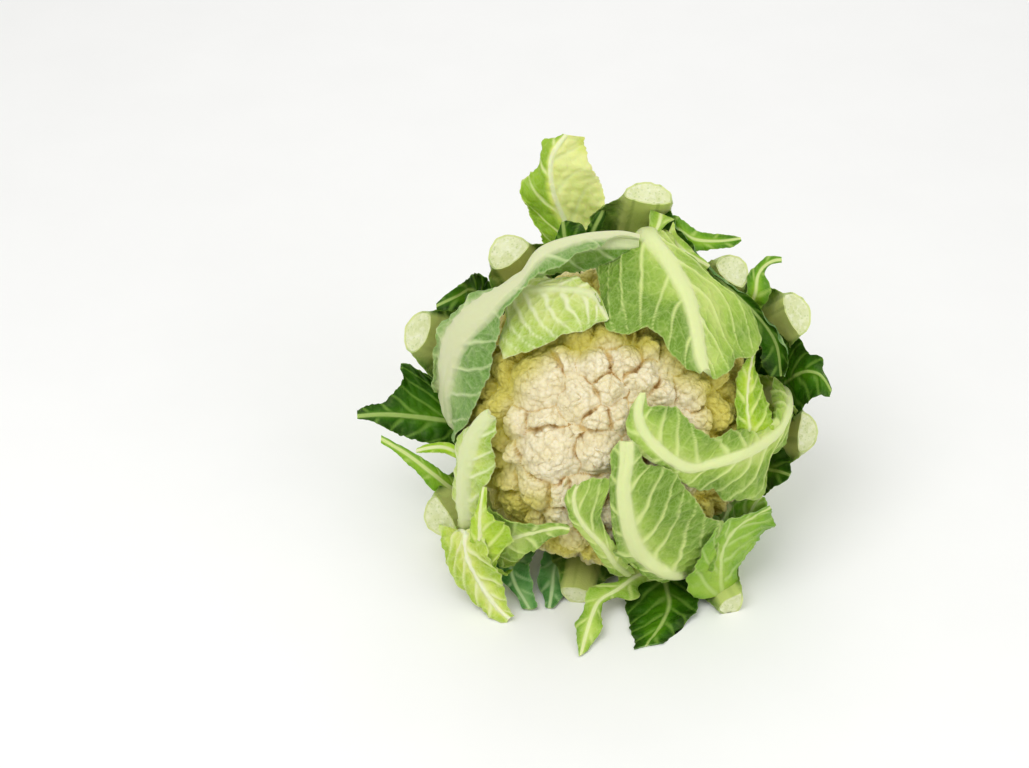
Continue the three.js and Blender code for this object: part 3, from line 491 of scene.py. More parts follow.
def blade_piece(name, left, rib, right, rib_wide, rib_high, finishes, slot, seed, shows=OUTER,
                outer_side=None, thick=0.8, vein_gap=14, vein_high=0.7, slope=0.9, ruffle=1.4,
                wave=19, teeth=0.8, pucker=0.5, taper=0.5, fold=1.6, greener=(0, 0), cut=False,
                belly=0.12, tip=0.985, grooves=0.12):
    """A leaf or cut stalk as a closed skin, grown between its edges and its rib."""
    reach, step = (1.0, STALK_STEP) if cut else (tip, LEAF_STEP)
    length = smooth_line(rib, 8)[1]
    rows = max(8, ceil(length / step))
    sides = [smooth_line(line, rows, reach)[0] for line in (left, rib, right)]
    spans = [np.linalg.norm(side - sides[1], axis=1).max() for side in (sides[0], sides[2])]
    columns = 2 * max(5, ceil(sum(spans) / step / 2))
    l, m, r = (side[:, None, :] for side in sides)
    v = np.linspace(-1, 1, columns + 1)[None, :, None]
    middle = clear_of_curd(m + (r - l) / 2 * v + ((l + r) / 2 - m) * v * v)
    along = np.linspace(0, length, rows + 1)[:, None] * np.ones((1, columns + 1))
    hops = np.linalg.norm(np.diff(middle, axis=1), axis=2)
    across = np.concatenate([np.zeros((rows + 1, 1)), np.cumsum(hops, axis=1)], axis=1)
    across -= across[:, columns // 2][:, None]
    width = np.where(across < 0, -across[:, :1], across[:, -1:])
    away, share = np.abs(across), np.clip(np.abs(across) / np.maximum(width, 1), 0, 1)
    u = along / length
    over = unit(np.gradient(middle, axis=1))
    normal = unit(np.cross(over, np.gradient(middle, axis=0)))
    facing = 1 if normal[int(rows * 0.75), columns // 2, 2] > 0 else -1
    outward = normal * (outer_side or facing * shows)

    half_rib = np.maximum(rib_wide / 2 * (1 - taper * u), 0.7)
    crest = np.clip(1 - (away / half_rib) ** 2, 0, 1) ** 0.75
    veins = vein_field(along, across, width, vein_gap, slope, seed) * np.clip(
        (away - half_rib * 0.6) / 2, 0, 1)
    blade = (1 - crest) * np.clip(width / 12, 0, 1) * np.clip(u * 3, 0, 1)
    line = net_field(along, across, NET_SIZE, seed + 9)
    mesh_line = np.exp(-(line / NET_LINE) ** 2) * (1 - crest) * (1 - 0.5 * veins)
    puffed = np.clip(line / 3.2, 0, 1) * (1 - np.clip(veins * 1.6, 0, 1))
    lift = -pucker * blade * (puffed - 0.4) + 0.35 * pucker * blade * sines(along, across, 9, seed + 2)
    lift += fold * blade * share * sines(along, across, 30, seed + 3)
    sway = np.sign(across) * 40
    free = share ** 2.5 * np.clip(width / 10, 0, 1) * np.clip(u * 4, 0, 1)
    lift += ruffle * free * (sines(along, sway, wave, seed + 4)
                             + 0.4 * sines(along, sway, wave / 2.7, seed + 5))
    tooth = sines(along, sway, 15, seed + 6) + 0.55 * sines(along, sway, 3.2, seed + 7) - 0.4
    middle = middle + outward * lift[..., None]
    bite = np.sign(across) * teeth * share ** 6 * tooth * np.clip(width / 8, 0, 1)
    middle = clear_of_curd(middle + over * bite[..., None])

    rim = width - away
    half = thick / 2 * np.sqrt(np.clip(rim / 1.1, 0, 1))
    bulk = rib_high * (1 - taper * u) * crest * np.clip(rim / 0.6, 0, 1)
    streaks = sines(across, 0.05 * along, 4.5, seed + 10)
    ridge = (vein_high * veins + 0.22 * mesh_line + grooves * crest * streaks) * np.clip(
        rim / 3, 0, 1)
    skins = [middle + outward * (half + bulk * (1 - belly) + ridge)[..., None],
             middle - outward * (half + bulk * belly - 0.4 * ridge)[..., None]]
    ring = np.concatenate([skins[0], skins[1][:, -2::-1]], axis=1)

    def round_ring(field):
        field = np.broadcast_to(field, (rows + 1, columns + 1))
        return np.concatenate([field, field[:, -2::-1]], axis=1)

    bm = bmesh.new()
    bmesh.ops.create_grid(bm, x_segments=2 * columns, y_segments=rows, size=1)
    mesh = bpy.data.meshes.new(name)
    bm.to_mesh(mesh)
    seats = np.empty(len(mesh.vertices) * 3)
    mesh.vertices.foreach_get("co", seats)
    col = np.rint((seats[0::3] + 1) * columns).astype(int)
    row = np.rint((seats[1::3] + 1) / 2 * rows).astype(int)
    mesh.vertices.foreach_set("co", ring[row, col].ravel())
    ribbed = (np.clip((1.2 - away / half_rib) / 0.5, 0, 1) + 0.6 * np.exp(-(away / half_rib) ** 2 / 4)
              - 2 * grooves * np.clip(streaks, 0, 1)) * (0.6 + 0.4 * np.clip(2.5 * u - 0.5, 0, 1))
    # Each half's bias deepens or lightens its green: the leaf's own tone, and on some leaves painted
    # shade on one half.
    bias = np.where(across < 0, greener[0], greener[1])
    tint = np.clip(share ** 0.7 * (0.55 + 0.45 * u) + 0.16 * sines(along, across, 26, seed + 8)
                   + bias * np.clip(share * 3, 0, 1), 0, 1.5)
    for key, field in (("veins", veins), ("ribbed", ribbed / 1.6), ("tint", tint), ("rim", rim),
                       ("netted", mesh_line)):
        values = np.ascontiguousarray(round_ring(field)[row, col])
        mesh.attributes.new(key, "FLOAT", "POINT").data.foreach_set("value", values)
    corners = np.empty(len(mesh.loops), int)
    mesh.loops.foreach_get("vertex_index", corners)
    flat = np.stack([round_ring(across)[row, col], round_ring(along)[row, col]], 1) * MM
    blade_map = mesh.uv_layers.new(name="blade")
    blade_map.data.foreach_set("uv", flat[corners].ravel())
    inside = (col[corners].reshape(-1, 4).min(axis=1) >= columns).astype(int)
    mesh.polygons.foreach_set("material_index", inside)
    bm.clear()
    bm.from_mesh(mesh)
    bpy.data.meshes.remove(mesh)
    bmesh.ops.remove_doubles(bm, verts=bm.verts, dist=1e-4)
    ends = bmesh.ops.holes_fill(bm, edges=[e for e in bm.edges if e.is_boundary], sides=0)["faces"]
    bmesh.ops.recalc_face_normals(bm, faces=bm.faces)
    if cut:
        face = max(ends, key=lambda f: f.calc_area() * (f.calc_center_median().z > -60))
        bmesh.ops.inset_region(bm, faces=[face], thickness=0.9, depth=-0.35)
        face.material_index = 2
    finished_piece(name, bm, finishes)


def leaf_finish(name, heart, blade, deep, vein, rib, net=0.5, rough=0.5, relief=0.2, glow=0.3,
                gloss=0.35, margin=0.35):
    """Leaf skin under its wax: a deeper green away from the rib, netted with pale fine veins."""
    material, tree, shader, place = new_finish(name)
    veins, ribbed, tint, rim, netted = (
        add_node(tree, "ShaderNodeAttribute", "Fac", {"attribute_name": key})
        for key in ("veins", "ribbed", "tint", "rim", "netted"))
    flat = add_node(tree, "ShaderNodeUVMap", 0, {"uv_map": "blade"})
    clouds = add_node(tree, "ShaderNodeTexNoise", "Fac", Vector=place, Scale=1 / (18 * MM), Detail=5)
    cloud = add_node(tree, "ShaderNodeMapRange", 0, Value=clouds, From_Min=0.3, From_Max=0.7,
                     To_Min=-0.28, To_Max=0.28)
    green = add_node(tree, "ShaderNodeMath", 0, {"use_clamp": True}, _0=tint, _1=cloud)
    near_rib = add_node(tree, "ShaderNodeMapRange", 0, Value=green, From_Max=0.5)
    far_out = add_node(tree, "ShaderNodeMapRange", 0, Value=green, From_Min=0.45)
    inner = add_node(tree, "ShaderNodeMix", 2, COLOURS, _0=near_rib, _6=linear(heart), _7=linear(blade))
    tissue = add_node(tree, "ShaderNodeMix", 2, COLOURS, _0=far_out, _6=inner, _7=linear(deep))
    sway = add_node(tree, "ShaderNodeTexNoise", "Color", Vector=flat, Scale=1 / (9 * MM))
    swayed = add_node(tree, "ShaderNodeVectorMath", 0, {"operation": "MULTIPLY_ADD"}, _0=sway,
                      _1=(3 * MM, 3 * MM, 0), _2=flat)
    cells = add_node(tree, "ShaderNodeTexVoronoi", "Distance", {"feature": "DISTANCE_TO_EDGE"},
                     Vector=swayed, Scale=1 / (2.3 * MM))
    fine = add_node(tree, "ShaderNodeMapRange", 0, Value=cells, From_Min=0.02, From_Max=0.16,
                    To_Min=0.45, To_Max=0)
    lines = add_node(tree, "ShaderNodeMath", 0, {"operation": "MAXIMUM"}, _0=netted, _1=fine)
    pale = add_node(tree, "ShaderNodeMath", 0, {"operation": "MULTIPLY"}, _0=lines, _1=net)
    on_vein = add_node(tree, "ShaderNodeMapRange", 0, Value=veins, From_Min=0.15, From_Max=0.8,
                       To_Max=0.9)
    on_rib = add_node(tree, "ShaderNodeMapRange", 0, Value=ribbed, From_Min=0.15, From_Max=0.8)
    on_rim = add_node(tree, "ShaderNodeMapRange", 0, Value=rim, From_Min=0.1, From_Max=0.9,
                      To_Min=margin, To_Max=0)
    colour = tissue
    for factor, code in ((pale, vein), (on_vein, vein), (on_rib, rib), (on_rim, vein)):
        colour = add_node(tree, "ShaderNodeMix", 2, COLOURS, _0=factor, _6=colour, _7=linear(code))
    tree.links.new(colour, shader.inputs["Base Color"])
    smears = add_node(tree, "ShaderNodeTexNoise", "Fac", Vector=place, Scale=1 / (5 * MM), Detail=4)
    wax = add_node(tree, "ShaderNodeMapRange", 0, Value=smears, From_Min=0.3, From_Max=0.7,
                   To_Min=rough - 0.08, To_Max=rough + 0.1)
    tree.links.new(wax, shader.inputs["Roughness"])
    grit = add_node(tree, "ShaderNodeTexNoise", "Fac", Vector=place, Scale=1 / (1.2 * MM), Detail=3)
    raised = add_node(tree, "ShaderNodeMath", 0, {"operation": "MULTIPLY_ADD"}, _0=lines,
                      _1=relief * 8, _2=grit)
    bump = add_node(tree, "ShaderNodeBump", 0, Height=raised, Distance=0.12 * MM, Strength=0.6)
    tree.links.new(bump, shader.inputs["Normal"])
    shader.inputs["Specular IOR Level"].default_value = gloss
    shader.inputs["Specular Tint"].default_value = linear("#F0F6C0")
    soften(shader, glow, 2.2, (0.7, 1.0, 0.25))
    return material


STALK_SKIN = leaf_finish("waxy stalk skin", "#CDD68C", "#86A648", "#3E6C1C", "#BFCE88", "#D0D898",
                         net=0.15, rough=0.45)
STALK_INSIDE = leaf_finish("stalk inner face", "#BCCB66", "#55821E", "#2A5410", "#A9C068",
                           "#C6D27C", net=0.2, rough=0.45)


def make_stalk(name, wide, thick, wings, rib, seed):
    """A cut stalk: its edges follow its rib, curling forward where strips of blade are left."""
    line = np.array(rib, float)
    run = np.concatenate([[0], np.cumsum(np.linalg.norm(np.diff(line, axis=0), axis=1))])
    edges = []
    for wing, sign in zip(wings, (-1, 1)):
        edge = []
        for i, share in enumerate(WING_SHARES):
            x, y, z = (np.interp(i / 4 * run[-1], run, line[:, k]) for k in range(3))
            reach = max(wing * share, wide / 2)
            edge.append((x - sign * y * reach / hypot(x, y), y + sign * x * reach / hypot(x, y),
                         z + WING_CURL * (reach - wide / 2)))
        edges.append(edge)
    blade_piece(name, edges[0], rib, edges[1], wide * 1.08, thick - 0.8,
                [STALK_SKIN, STALK_INSIDE, CUT_FLESH], "stalk", seed, outer_side=OUTER,
                ruffle=1.6, wave=24, teeth=0.5, taper=0.0, cut=True, belly=0.3, grooves=0.3)


STALKS = {                              # width, thickness, reach clockwise and back, and rib
    "stalk_top": (24, 12, (14, 25), [(2, 20, -92), (6, 60, -70), (10, 85, -35), (13, 95, -12),
                                     (14, 99, -4)]),
    "stalk_upper_right": (19, 14, (18, 15), [(12, 12, -92), (35, 40, -60), (48, 56, -28),
                                             (54, 62, -8)]),
    "stalk_right": (22, 13, (18, 25), [(22, 8, -92), (55, 25, -62), (75, 37, -30),
                                       (85, 42, -6)]),
    "stalk_right_low": (20, 11, (20, 16), [(25, -5, -92), (60, -12, -65), (80, -16, -38),
                                           (90, -16, -18)]),
    "stalk_bottom_right": (14, 11, (15, 15), [(12, -25, -90), (30, -53, -58), (42, -76, -32),
                                              (50, -92, -14), (54, -99, -5)]),
    "stalk_bottom": (15, 10, (18, 18), [(-5, -25, -90), (-12, -55, -57), (-17, -77, -33),
                                        (-21, -94, -11)]),
    "stalk_left_low": (22, 15, (18, 18), [(-22, -18, -92), (-52, -38, -62), (-74, -50, -35),
                                          (-87, -57, -12)]),
    "stalk_left": (22, 15, (20, 24), [(-24, 4, -92), (-58, 18, -65), (-82, 28, -42),
                                      (-97, 33, -20)]),
    "stalk_upper_left": (22, 17, (25, 22), [(-14, 16, -92), (-33, 42, -68), (-46, 60, -42),
                                            (-54, 71, -18)]),
}
for order, (stalk, (wide, thick, wings, line)) in enumerate(STALKS.items()):
    make_stalk(stalk, wide, thick, wings, line, 100 + 10 * order)

# ---------------------------------------------------------------------------------------------
# The outer leaves that were left on: dark green and waxy, with thick pale veins on the inner
# side. Most are scraps of larger leaves, bent out over the table or tucked between the stalks.
# ---------------------------------------------------------------------------------------------
def grow_leaf(name, group, left, rib, right, rib_wide, rib_high, **habit):
    """A leaf of one group: its finishes and habit, with what is its own put over them."""
    finishes, slot, shared = group
    habit = {"finishes": finishes, "seed": sum(map(ord, name)), **shared, **habit}
    blade_piece(name, left, rib, right, rib_wide, rib_high, slot=slot, **habit)


DARK_UPPER = leaf_finish("dark leaf upper side", "#4E8008", "#2C5E04", "#133602", "#769C3C",
                         "#A3BC66", net=0.1, rough=0.38, gloss=0.25, margin=0.15)
DARK_UNDER = leaf_finish("dark leaf under side", "#8FAE60", "#56823A", "#34602A", "#A9C284",
                         "#C4D498", net=0.18, rough=0.55, gloss=0.25, margin=0.2)
JADE_UPPER = leaf_finish("blue-green leaf upper side", "#86B06A", "#578F48", "#35702E", "#A3C488",
                         "#B9D29A", net=0.15, rough=0.42, gloss=0.25)
JADE_PAIR = [DARK_UNDER, JADE_UPPER]
DARK = ([DARK_UNDER, DARK_UPPER], "leaf_dark",
        {"shows": INNER, "ruffle": 2.2, "teeth": 0.9, "pucker": 0.7, "vein_gap": 12,
         "vein_high": 0.4})

grow_leaf(
    "leaf_bottom_left_dark", DARK, rib_wide=2, rib_high=0.8, finishes=JADE_PAIR,
    left=[(-50, -74, -28), (-61, -77, -20), (-59, -86, -16), (-52, -94, -14), (-48, -102, -8.5)],
    rib=[(-45, -73, -30), (-53, -81, -19), (-51, -90, -15), (-47, -97, -12), (-44, -102.5, -8)],
    right=[(-40, -72, -32), (-44, -82, -17), (-42, -90, -13), (-41, -97, -11), (-40, -102, -8.5)])
grow_leaf(
    "leaf_bottom_left_dark_fold", DARK, rib_wide=2, rib_high=0.8, finishes=JADE_PAIR,
    left=[(-32, -62, -44), (-40, -83, -24), (-39, -92, -18), (-36, -102, -10)],
    rib=[(-25, -62, -46), (-32, -83, -24), (-33, -92, -17), (-34.5, -102, -9.5)],
    right=[(-18, -62, -44), (-24.5, -82, -24), (-26, -93, -16), (-33, -102, -9)])
grow_leaf(
    "leaf_back_small_dark", DARK, rib_wide=3, rib_high=1,
    left=[(-26, 40, -72), (-34, 72, -30), (-32, 80, -27), (-28, 88, -24)],
    rib=[(-18, 40, -72), (-25, 70, -30), (-27, 80, -26), (-28, 88, -24)],
    right=[(-10, 40, -72), (-12, 72, -30), (-14, 80, -26), (-20, 86, -25), (-27, 88, -24)])
grow_leaf(
    "leaf_back_thin_twist", DARK, rib_wide=2, rib_high=0.6,
    left=[(-18, 56, -62), (-19, 78, -32), (-15, 86, -27), (-10, 93, -25), (-7.5, 96, -25)],
    rib=[(-14, 56, -62), (-15, 77, -32), (-12, 85, -27), (-8.5, 92, -25), (-7.3, 96, -25)],
    right=[(-10, 56, -62), (-11, 76, -32), (-9, 84, -27), (-6.8, 91, -26), (-7, 96, -25)])
grow_leaf(
    "leaf_upper_left_dark", DARK, rib_wide=2.4, rib_high=0.8,
    left=[(-30, 20, -88), (-55, 50, -55), (-70, 62, -26), (-79, 56, -14), (-91, 46, -9)],
    rib=[(-34, 14, -88), (-62, 42, -55), (-73, 54, -23), (-81, 50, -12), (-91, 45, -8)],
    right=[(-38, 8, -88), (-68, 34, -55), (-77, 44, -20), (-83, 43, -10), (-91, 44, -8)])
grow_leaf(
    "leaf_upper_right_dark_long", DARK, rib_wide=2.2, rib_high=0.8,
    left=[(2, 34, -90), (8, 66, -56), (18, 90, -22), (24, 92, -14), (36, 76, -4), (44, 63, 0),
        (60, 52.5, 3), (70, 41, 6), (78, 33, 8), (82, 23.5, 8), (79, 9, -2)],
    rib=[(10, 30, -90), (16, 62, -58), (20, 82, -22), (30, 74, -10), (45, 62, -4), (58, 50, 0),
        (68, 40, 2), (76, 28, 2), (79, 9, -4)],
    right=[(18, 26, -88), (24, 54, -52), (22, 72, -20), (26, 70, -8), (38, 58, -2), (52, 46, 2),
        (62, 36, 4), (68, 24, 4), (73, 9, -2)])
grow_leaf(
    "leaf_right_dark_pointed", DARK, rib_wide=2.6, rib_high=1,
    left=[(26, 14, -90), (56, 20, -60), (80, 33, -20), (91, 27, -12), (99, 20.5, -9), (99, 14, -8),
        (101, 11, -7), (104, 4, -6)],
    rib=[(30, 4, -90), (60, 6, -62), (80, 8, -32), (86, 12, -20), (92, 14, -12), (98, 12, -8),
        (104, 3, -6)],
    right=[(28, -6, -90), (60, -10, -60), (80, -12, -30), (89, -4, -16), (93, 0, -11),
        (98, 1.2, -8), (104, 1.5, -7)])
grow_leaf(
    "leaf_right_dark_low", DARK, rib_wide=2.4, rib_high=0.8,
    left=[(30, -6, -86), (62, -14, -56), (78, -22, -32), (82, -28, -24), (84, -36, -20)],
    rib=[(28, -14, -86), (58, -26, -54), (73, -34, -32), (78, -35, -24), (84, -37, -20)],
    right=[(24, -22, -86), (52, -38, -52), (68, -46, -32), (76, -43, -25), (83, -38, -21)])
grow_leaf(
    "leaf_left_dark_veined", DARK, rib_wide=3.6, rib_high=1.4,
    left=[(-30, 6, -88), (-52, 2, -78), (-75, 6, -55), (-92, 12, -40), (-106, 19, -34),
        (-107, 10, -34), (-114, 0, -35), (-121, -1, -36), (-130, -6, -36)],
    rib=[(-28, -6, -92), (-45, -12, -84), (-70, -12, -58), (-85, -10, -42), (-100, -8, -38),
        (-115, -7, -36), (-130, -8, -36)],
    right=[(-26, -18, -88), (-50, -28, -80), (-72, -26, -52), (-85, -22, -40), (-98, -21, -37),
        (-110, -16, -36), (-120, -11, -36), (-130, -9, -36)])
grow_leaf(
    "leaf_bottom_dark", DARK, rib_wide=2.6, rib_high=1,
    left=[(2, -36, -84), (4, -56, -58), (2, -88, -22), (2, -98, -12), (4, -108, -2), (6, -117, 8),
        (8, -123, 15)],
    rib=[(8, -34, -86), (14, -56, -60), (18, -73, -40), (22, -89, -22), (24, -100, -11),
        (20, -110, 1), (12, -121, 13.5)],
    right=[(14, -34, -86), (24, -54, -60), (38, -88, -22), (39, -102, -8), (33, -108, -1),
        (27, -113, 5), (21, -119.5, 12)])

# ---------------------------------------------------------------------------------------------
# The middle leaves: grass green, narrower, their pale ribs and cut margins showing as they
# curl out between the stalks.
# ---------------------------------------------------------------------------------------------
GREEN_UPPER = leaf_finish("green leaf upper side", "#8FB62C", "#5E960E", "#346C06", "#B4CC68",
                          "#CFDC90", net=0.18, rough=0.4, margin=0.25)
GREEN_UNDER = leaf_finish("green leaf under side", "#A9C47C", "#7DA650", "#5A8A3A", "#C2D49A",
                          "#D2DEA4", net=0.25, rough=0.55)
BRIGHT_UPPER = leaf_finish("bright green leaf upper side", "#A8C650", "#84B02C", "#5C9016",
                           "#BAD27C", "#CBDC90", net=0.2, rough=0.42, margin=0.25)
BRIGHT_PAIR = [GREEN_UNDER, BRIGHT_UPPER]
GREEN = ([GREEN_UNDER, GREEN_UPPER], "leaf_green",
         {"shows": INNER, "ruffle": 1.8, "teeth": 0.8, "pucker": 0.6, "vein_gap": 12})

grow_leaf(
    "leaf_lower_right_dark", GREEN, rib_wide=3, rib_high=1, finishes=BRIGHT_PAIR,
    left=[(14, -28, -88), (36, -50, -56), (48, -66, -18), (52, -58, -5), (57, -51, 0),
        (70, -46, 0)],
    rib=[(22, -20, -90), (46, -42, -60), (60, -62, -30), (62, -58, -8), (66, -50, -2),
        (70, -46, 0)],
    right=[(28, -12, -90), (56, -34, -60), (73, -58, -30), (74, -56, -8), (72, -50, -2),
        (70, -46, 0)])
grow_leaf(
    "leaf_upper_right_tongue", GREEN, rib_wide=2, rib_high=0.8,
    left=[(14, 70, -50), (25, 91, -16), (33, 86, -13), (40, 82, -13), (52, 81, -14), (60, 79, -16)],
    rib=[(20, 66, -50), (27, 84, -16), (36, 78.5, -12), (48, 77.5, -14), (60, 79, -16)],
    right=[(26, 62, -50), (30, 76, -16), (36, 72.5, -12), (44, 73.5, -13), (54, 74, -14),
        (60, 78, -16)])
grow_leaf(
    "leaf_right_small_tongue", GREEN, rib_wide=1.8, rib_high=0.6,
    left=[(44, 40, -60), (54, 48, -28), (61, 52, -9), (62, 60, -10), (66, 65.5, -11), (71, 70, -13),
        (80, 70, -15)],
    rib=[(50, 34, -60), (60, 44, -28), (66, 52, -9), (67, 60, -10), (70, 65, -12), (75, 68, -14),
        (80, 68.5, -15)],
    right=[(56, 28, -60), (66, 40, -28), (73, 51, -9), (72, 57, -10), (70.5, 62, -12),
        (73, 66, -14), (80, 67, -15)])
grow_leaf(
    "leaf_left_narrow_white_rib", GREEN, rib_wide=3, rib_high=1.2, greener=(-0.4, -0.4),
    left=[(-38, -22, -84), (-64, -32, -54), (-82, -36, -28), (-90, -32, -22), (-100, -26, -22),
        (-113, -18.5, -24), (-118, -16, -24)],
    rib=[(-40, -28, -84), (-66, -40, -54), (-80, -44, -30), (-90, -37, -22), (-103, -27, -22),
        (-118, -18, -24)],
    right=[(-40, -34, -82), (-66, -48, -52), (-86, -47, -28), (-93, -43, -22), (-100, -35, -22),
        (-110, -25.5, -23), (-118, -20.5, -24)])

# ---------------------------------------------------------------------------------------------
# The lime leaves: young outer leaves that grew half shaded, bright yellow-green and thin enough
# to glow, with white ribs and ragged margins.
# ---------------------------------------------------------------------------------------------
LIME_UPPER = leaf_finish("lime leaf upper side", "#CCDC58", "#A6CC14", "#74A40A", "#D4E47C",
                         "#E2E8B0", net=0.28, rough=0.42, glow=0.4)
LIME_UNDER = leaf_finish("lime leaf under side", "#D2DE78", "#AECE2C", "#80AA18", "#D8E58A",
                         "#E2E8B0", net=0.32, rough=0.5, glow=0.4)
YELLOW_UPPER = leaf_finish("yellow leaf upper side", "#E2E69C", "#CFD96A", "#8FB02C", "#E2E8A8",
                           "#E8ECC0", net=0.15, rough=0.42, glow=0.45)
YELLOW_UNDER = leaf_finish("yellow leaf under side", "#E0E69C", "#C6D65C", "#98B82E", "#E2E8B0",
                           "#E8ECC8", net=0.3, rough=0.5, glow=0.45)
YELLOW_PAIR = [YELLOW_UNDER, YELLOW_UPPER]
LIME = ([LIME_UNDER, LIME_UPPER], "leaf_lime",
        {"shows": OUTER, "ruffle": 2.2, "teeth": 1.1, "pucker": 0.8, "vein_gap": 12})

grow_leaf(
    "leaf_right_lime", LIME, rib_wide=2, rib_high=0.8, vein_high=0.45, greener=(0.3, 0.3),
    left=[(56, -30, 9), (53, -13, 24), (54, -5, 25), (55.5, 2, 26), (56, 7, 25), (57, 12, 23),
        (61, 20, 18), (65, 26, 12)],
    rib=[(62, -32, 9), (63, -15, 22), (62, -5, 23), (62, 5, 22), (63, 14, 19), (64, 20, 15),
        (65, 26, 12)],
    right=[(68, -30, 7), (74, -10, 14), (75, -7, 13), (72, 0, 13), (69, 8, 12), (66, 15, 12),
        (66, 22, 12), (65, 26, 12)])
grow_leaf(
    "leaf_lower_right_bright", LIME, rib_wide=2.6, rib_high=1, shows=INNER, finishes=BRIGHT_PAIR,
    vein_high=0.5,
    left=[(40, -97, -8), (33, -94, -4), (34, -86, 6), (37, -78, 14), (41, -72, 18), (47, -63, 20),
        (58, -58, 14), (74, -51, 0)],
    rib=[(50, -95, -10), (49, -85, -2), (50, -73, 6), (56, -63, 8), (66, -56, 4), (74, -52, 0)],
    right=[(58, -93, -13), (58, -86, -14), (60, -79, -10), (67, -72, -8), (73, -64, -8),
        (75, -57, -4), (74, -53, 0)])
grow_leaf(
    "leaf_left_lower_ragged", LIME, rib_wide=3, rib_high=1.2,
    left=[(-56, -70, -34), (-72, -82, -12), (-74, -80, 0), (-74, -68, 8), (-71, -57, 16),
        (-69, -48, 22), (-67, -41, 27)],
    rib=[(-50, -74, -34), (-62, -84, -14), (-66, -82, 2), (-68, -70, 12), (-68, -58, 20),
        (-67, -48, 25), (-66, -41, 27)],
    right=[(-44, -74, -34), (-54, -85, -12), (-60, -80, 6), (-55, -73, 16), (-52.5, -68, 22),
        (-57, -60, 27), (-63, -53, 28), (-65, -41, 28)])
grow_leaf(
    "leaf_left_yellow_green", LIME, rib_wide=4, rib_high=1.6, finishes=YELLOW_PAIR,
    left=[(-44, -34, -84), (-74, -52, -52), (-88, -60, -20), (-88, -68, -4), (-85, -76, -6),
        (-81, -86, -8), (-75, -94, -8), (-71, -101, -8), (-63, -107, -4), (-53, -109.5, -2)],
    rib=[(-40, -40, -84), (-65, -60, -50), (-78, -64, -15), (-75, -66, 6), (-75, -74, 6),
        (-71, -84, 3), (-65, -94, 0), (-59, -102, -3), (-52, -108, -2)],
    right=[(-36, -42, -82), (-58, -64, -46), (-70, -68, -12), (-66, -64, 14), (-62, -79, 12),
        (-60, -84, 9), (-57, -88, 6), (-55, -94, 3), (-55, -100, 0), (-50, -107, -2)])
grow_leaf(
    # Painted shade: its left half is darker, in the pocket of its fold, its right half paler.
    "leaf_back_upright", LIME, rib_wide=2.6, rib_high=1.2, shows=INNER, finishes=YELLOW_PAIR,
    taper=0.1, vein_gap=18, ruffle=2.4, greener=(0.75, -0.7), fold=4, teeth=1.4,
    left=[(-18, 24, -92), (-30, 50, -78), (-40, 81, -56), (-47, 97, -51), (-49, 103, -50),
        (-43, 110, -50), (-40, 118, -50), (-36, 127, -49), (-26, 131, -48)],
    rib=[(-8, 20, -95), (-15, 55, -78), (-26, 85, -58), (-33, 104, -49), (-33, 119, -46),
        (-25, 131, -46)],
    right=[(4, 24, -92), (0, 60, -80), (-8, 88, -67), (-7, 97, -63), (-8, 104, -60),
        (-14, 112, -55), (-15, 120, -50), (-17.5, 130, -47)])
grow_leaf(
    "leaf_left_lime_strip", LIME, rib_wide=2, rib_high=0.6, shows=INNER,
    left=[(-60, -22, -38), (-78, -22.5, -14), (-86, -20, -14), (-94, -21, -16), (-100, -24, -18)],
    rib=[(-62, -26, -38), (-78, -26, -14), (-86, -23, -14), (-94, -23.5, -16), (-100, -25, -18)],
    right=[(-62, -30, -38), (-78, -29, -14), (-86, -26, -14), (-94, -26, -16), (-100, -26, -18)])

# ---------------------------------------------------------------------------------------------
# The inner leaves, folded over the curd: pale, almost white at the rib and yellow-green towards
# the margin, their thick ribs and veins raised on the outer side that faces out.
# ---------------------------------------------------------------------------------------------
PALE_UPPER = leaf_finish("pale leaf upper side", "#C2D468", "#94B83C", "#6A9424", "#CFDE88",
                         "#DCE6A6", net=0.3, rough=0.42, glow=0.35)
PALE_UNDER = leaf_finish("pale leaf under side", "#C4D478", "#9DBB4C", "#6F9430", "#D2DF90",
                         "#DBE4A4", net=0.3, rough=0.5, glow=0.35)
LIGHT_UNDER = leaf_finish("light leaf under side", "#D3DC90", "#BDD068", "#94B43A", "#E2E8BC",
                          "#D8E0AA", net=0.4, rough=0.5, glow=0.4)
FLAP_UPPER = leaf_finish("grey-green leaf upper side", "#A9C060", "#7FA43C", "#5C8626", "#C6D698",
                         "#D2DAA8", net=0.25, rough=0.42, glow=0.3)
FLAP_UNDER = leaf_finish("grey-green leaf under side", "#C2CC90", "#93B066", "#6C9444", "#CBD8A2",
                         "#D4D8AC", net=0.3, rough=0.5, glow=0.3)
LIGHT_PAIR, FLAP_PAIR = [LIGHT_UNDER, PALE_UPPER], [FLAP_UNDER, FLAP_UPPER]
PALE = ([PALE_UNDER, PALE_UPPER], "leaf_pale",
        {"shows": OUTER, "ruffle": 2.2, "teeth": 0.8, "pucker": 0.7, "vein_gap": 14})

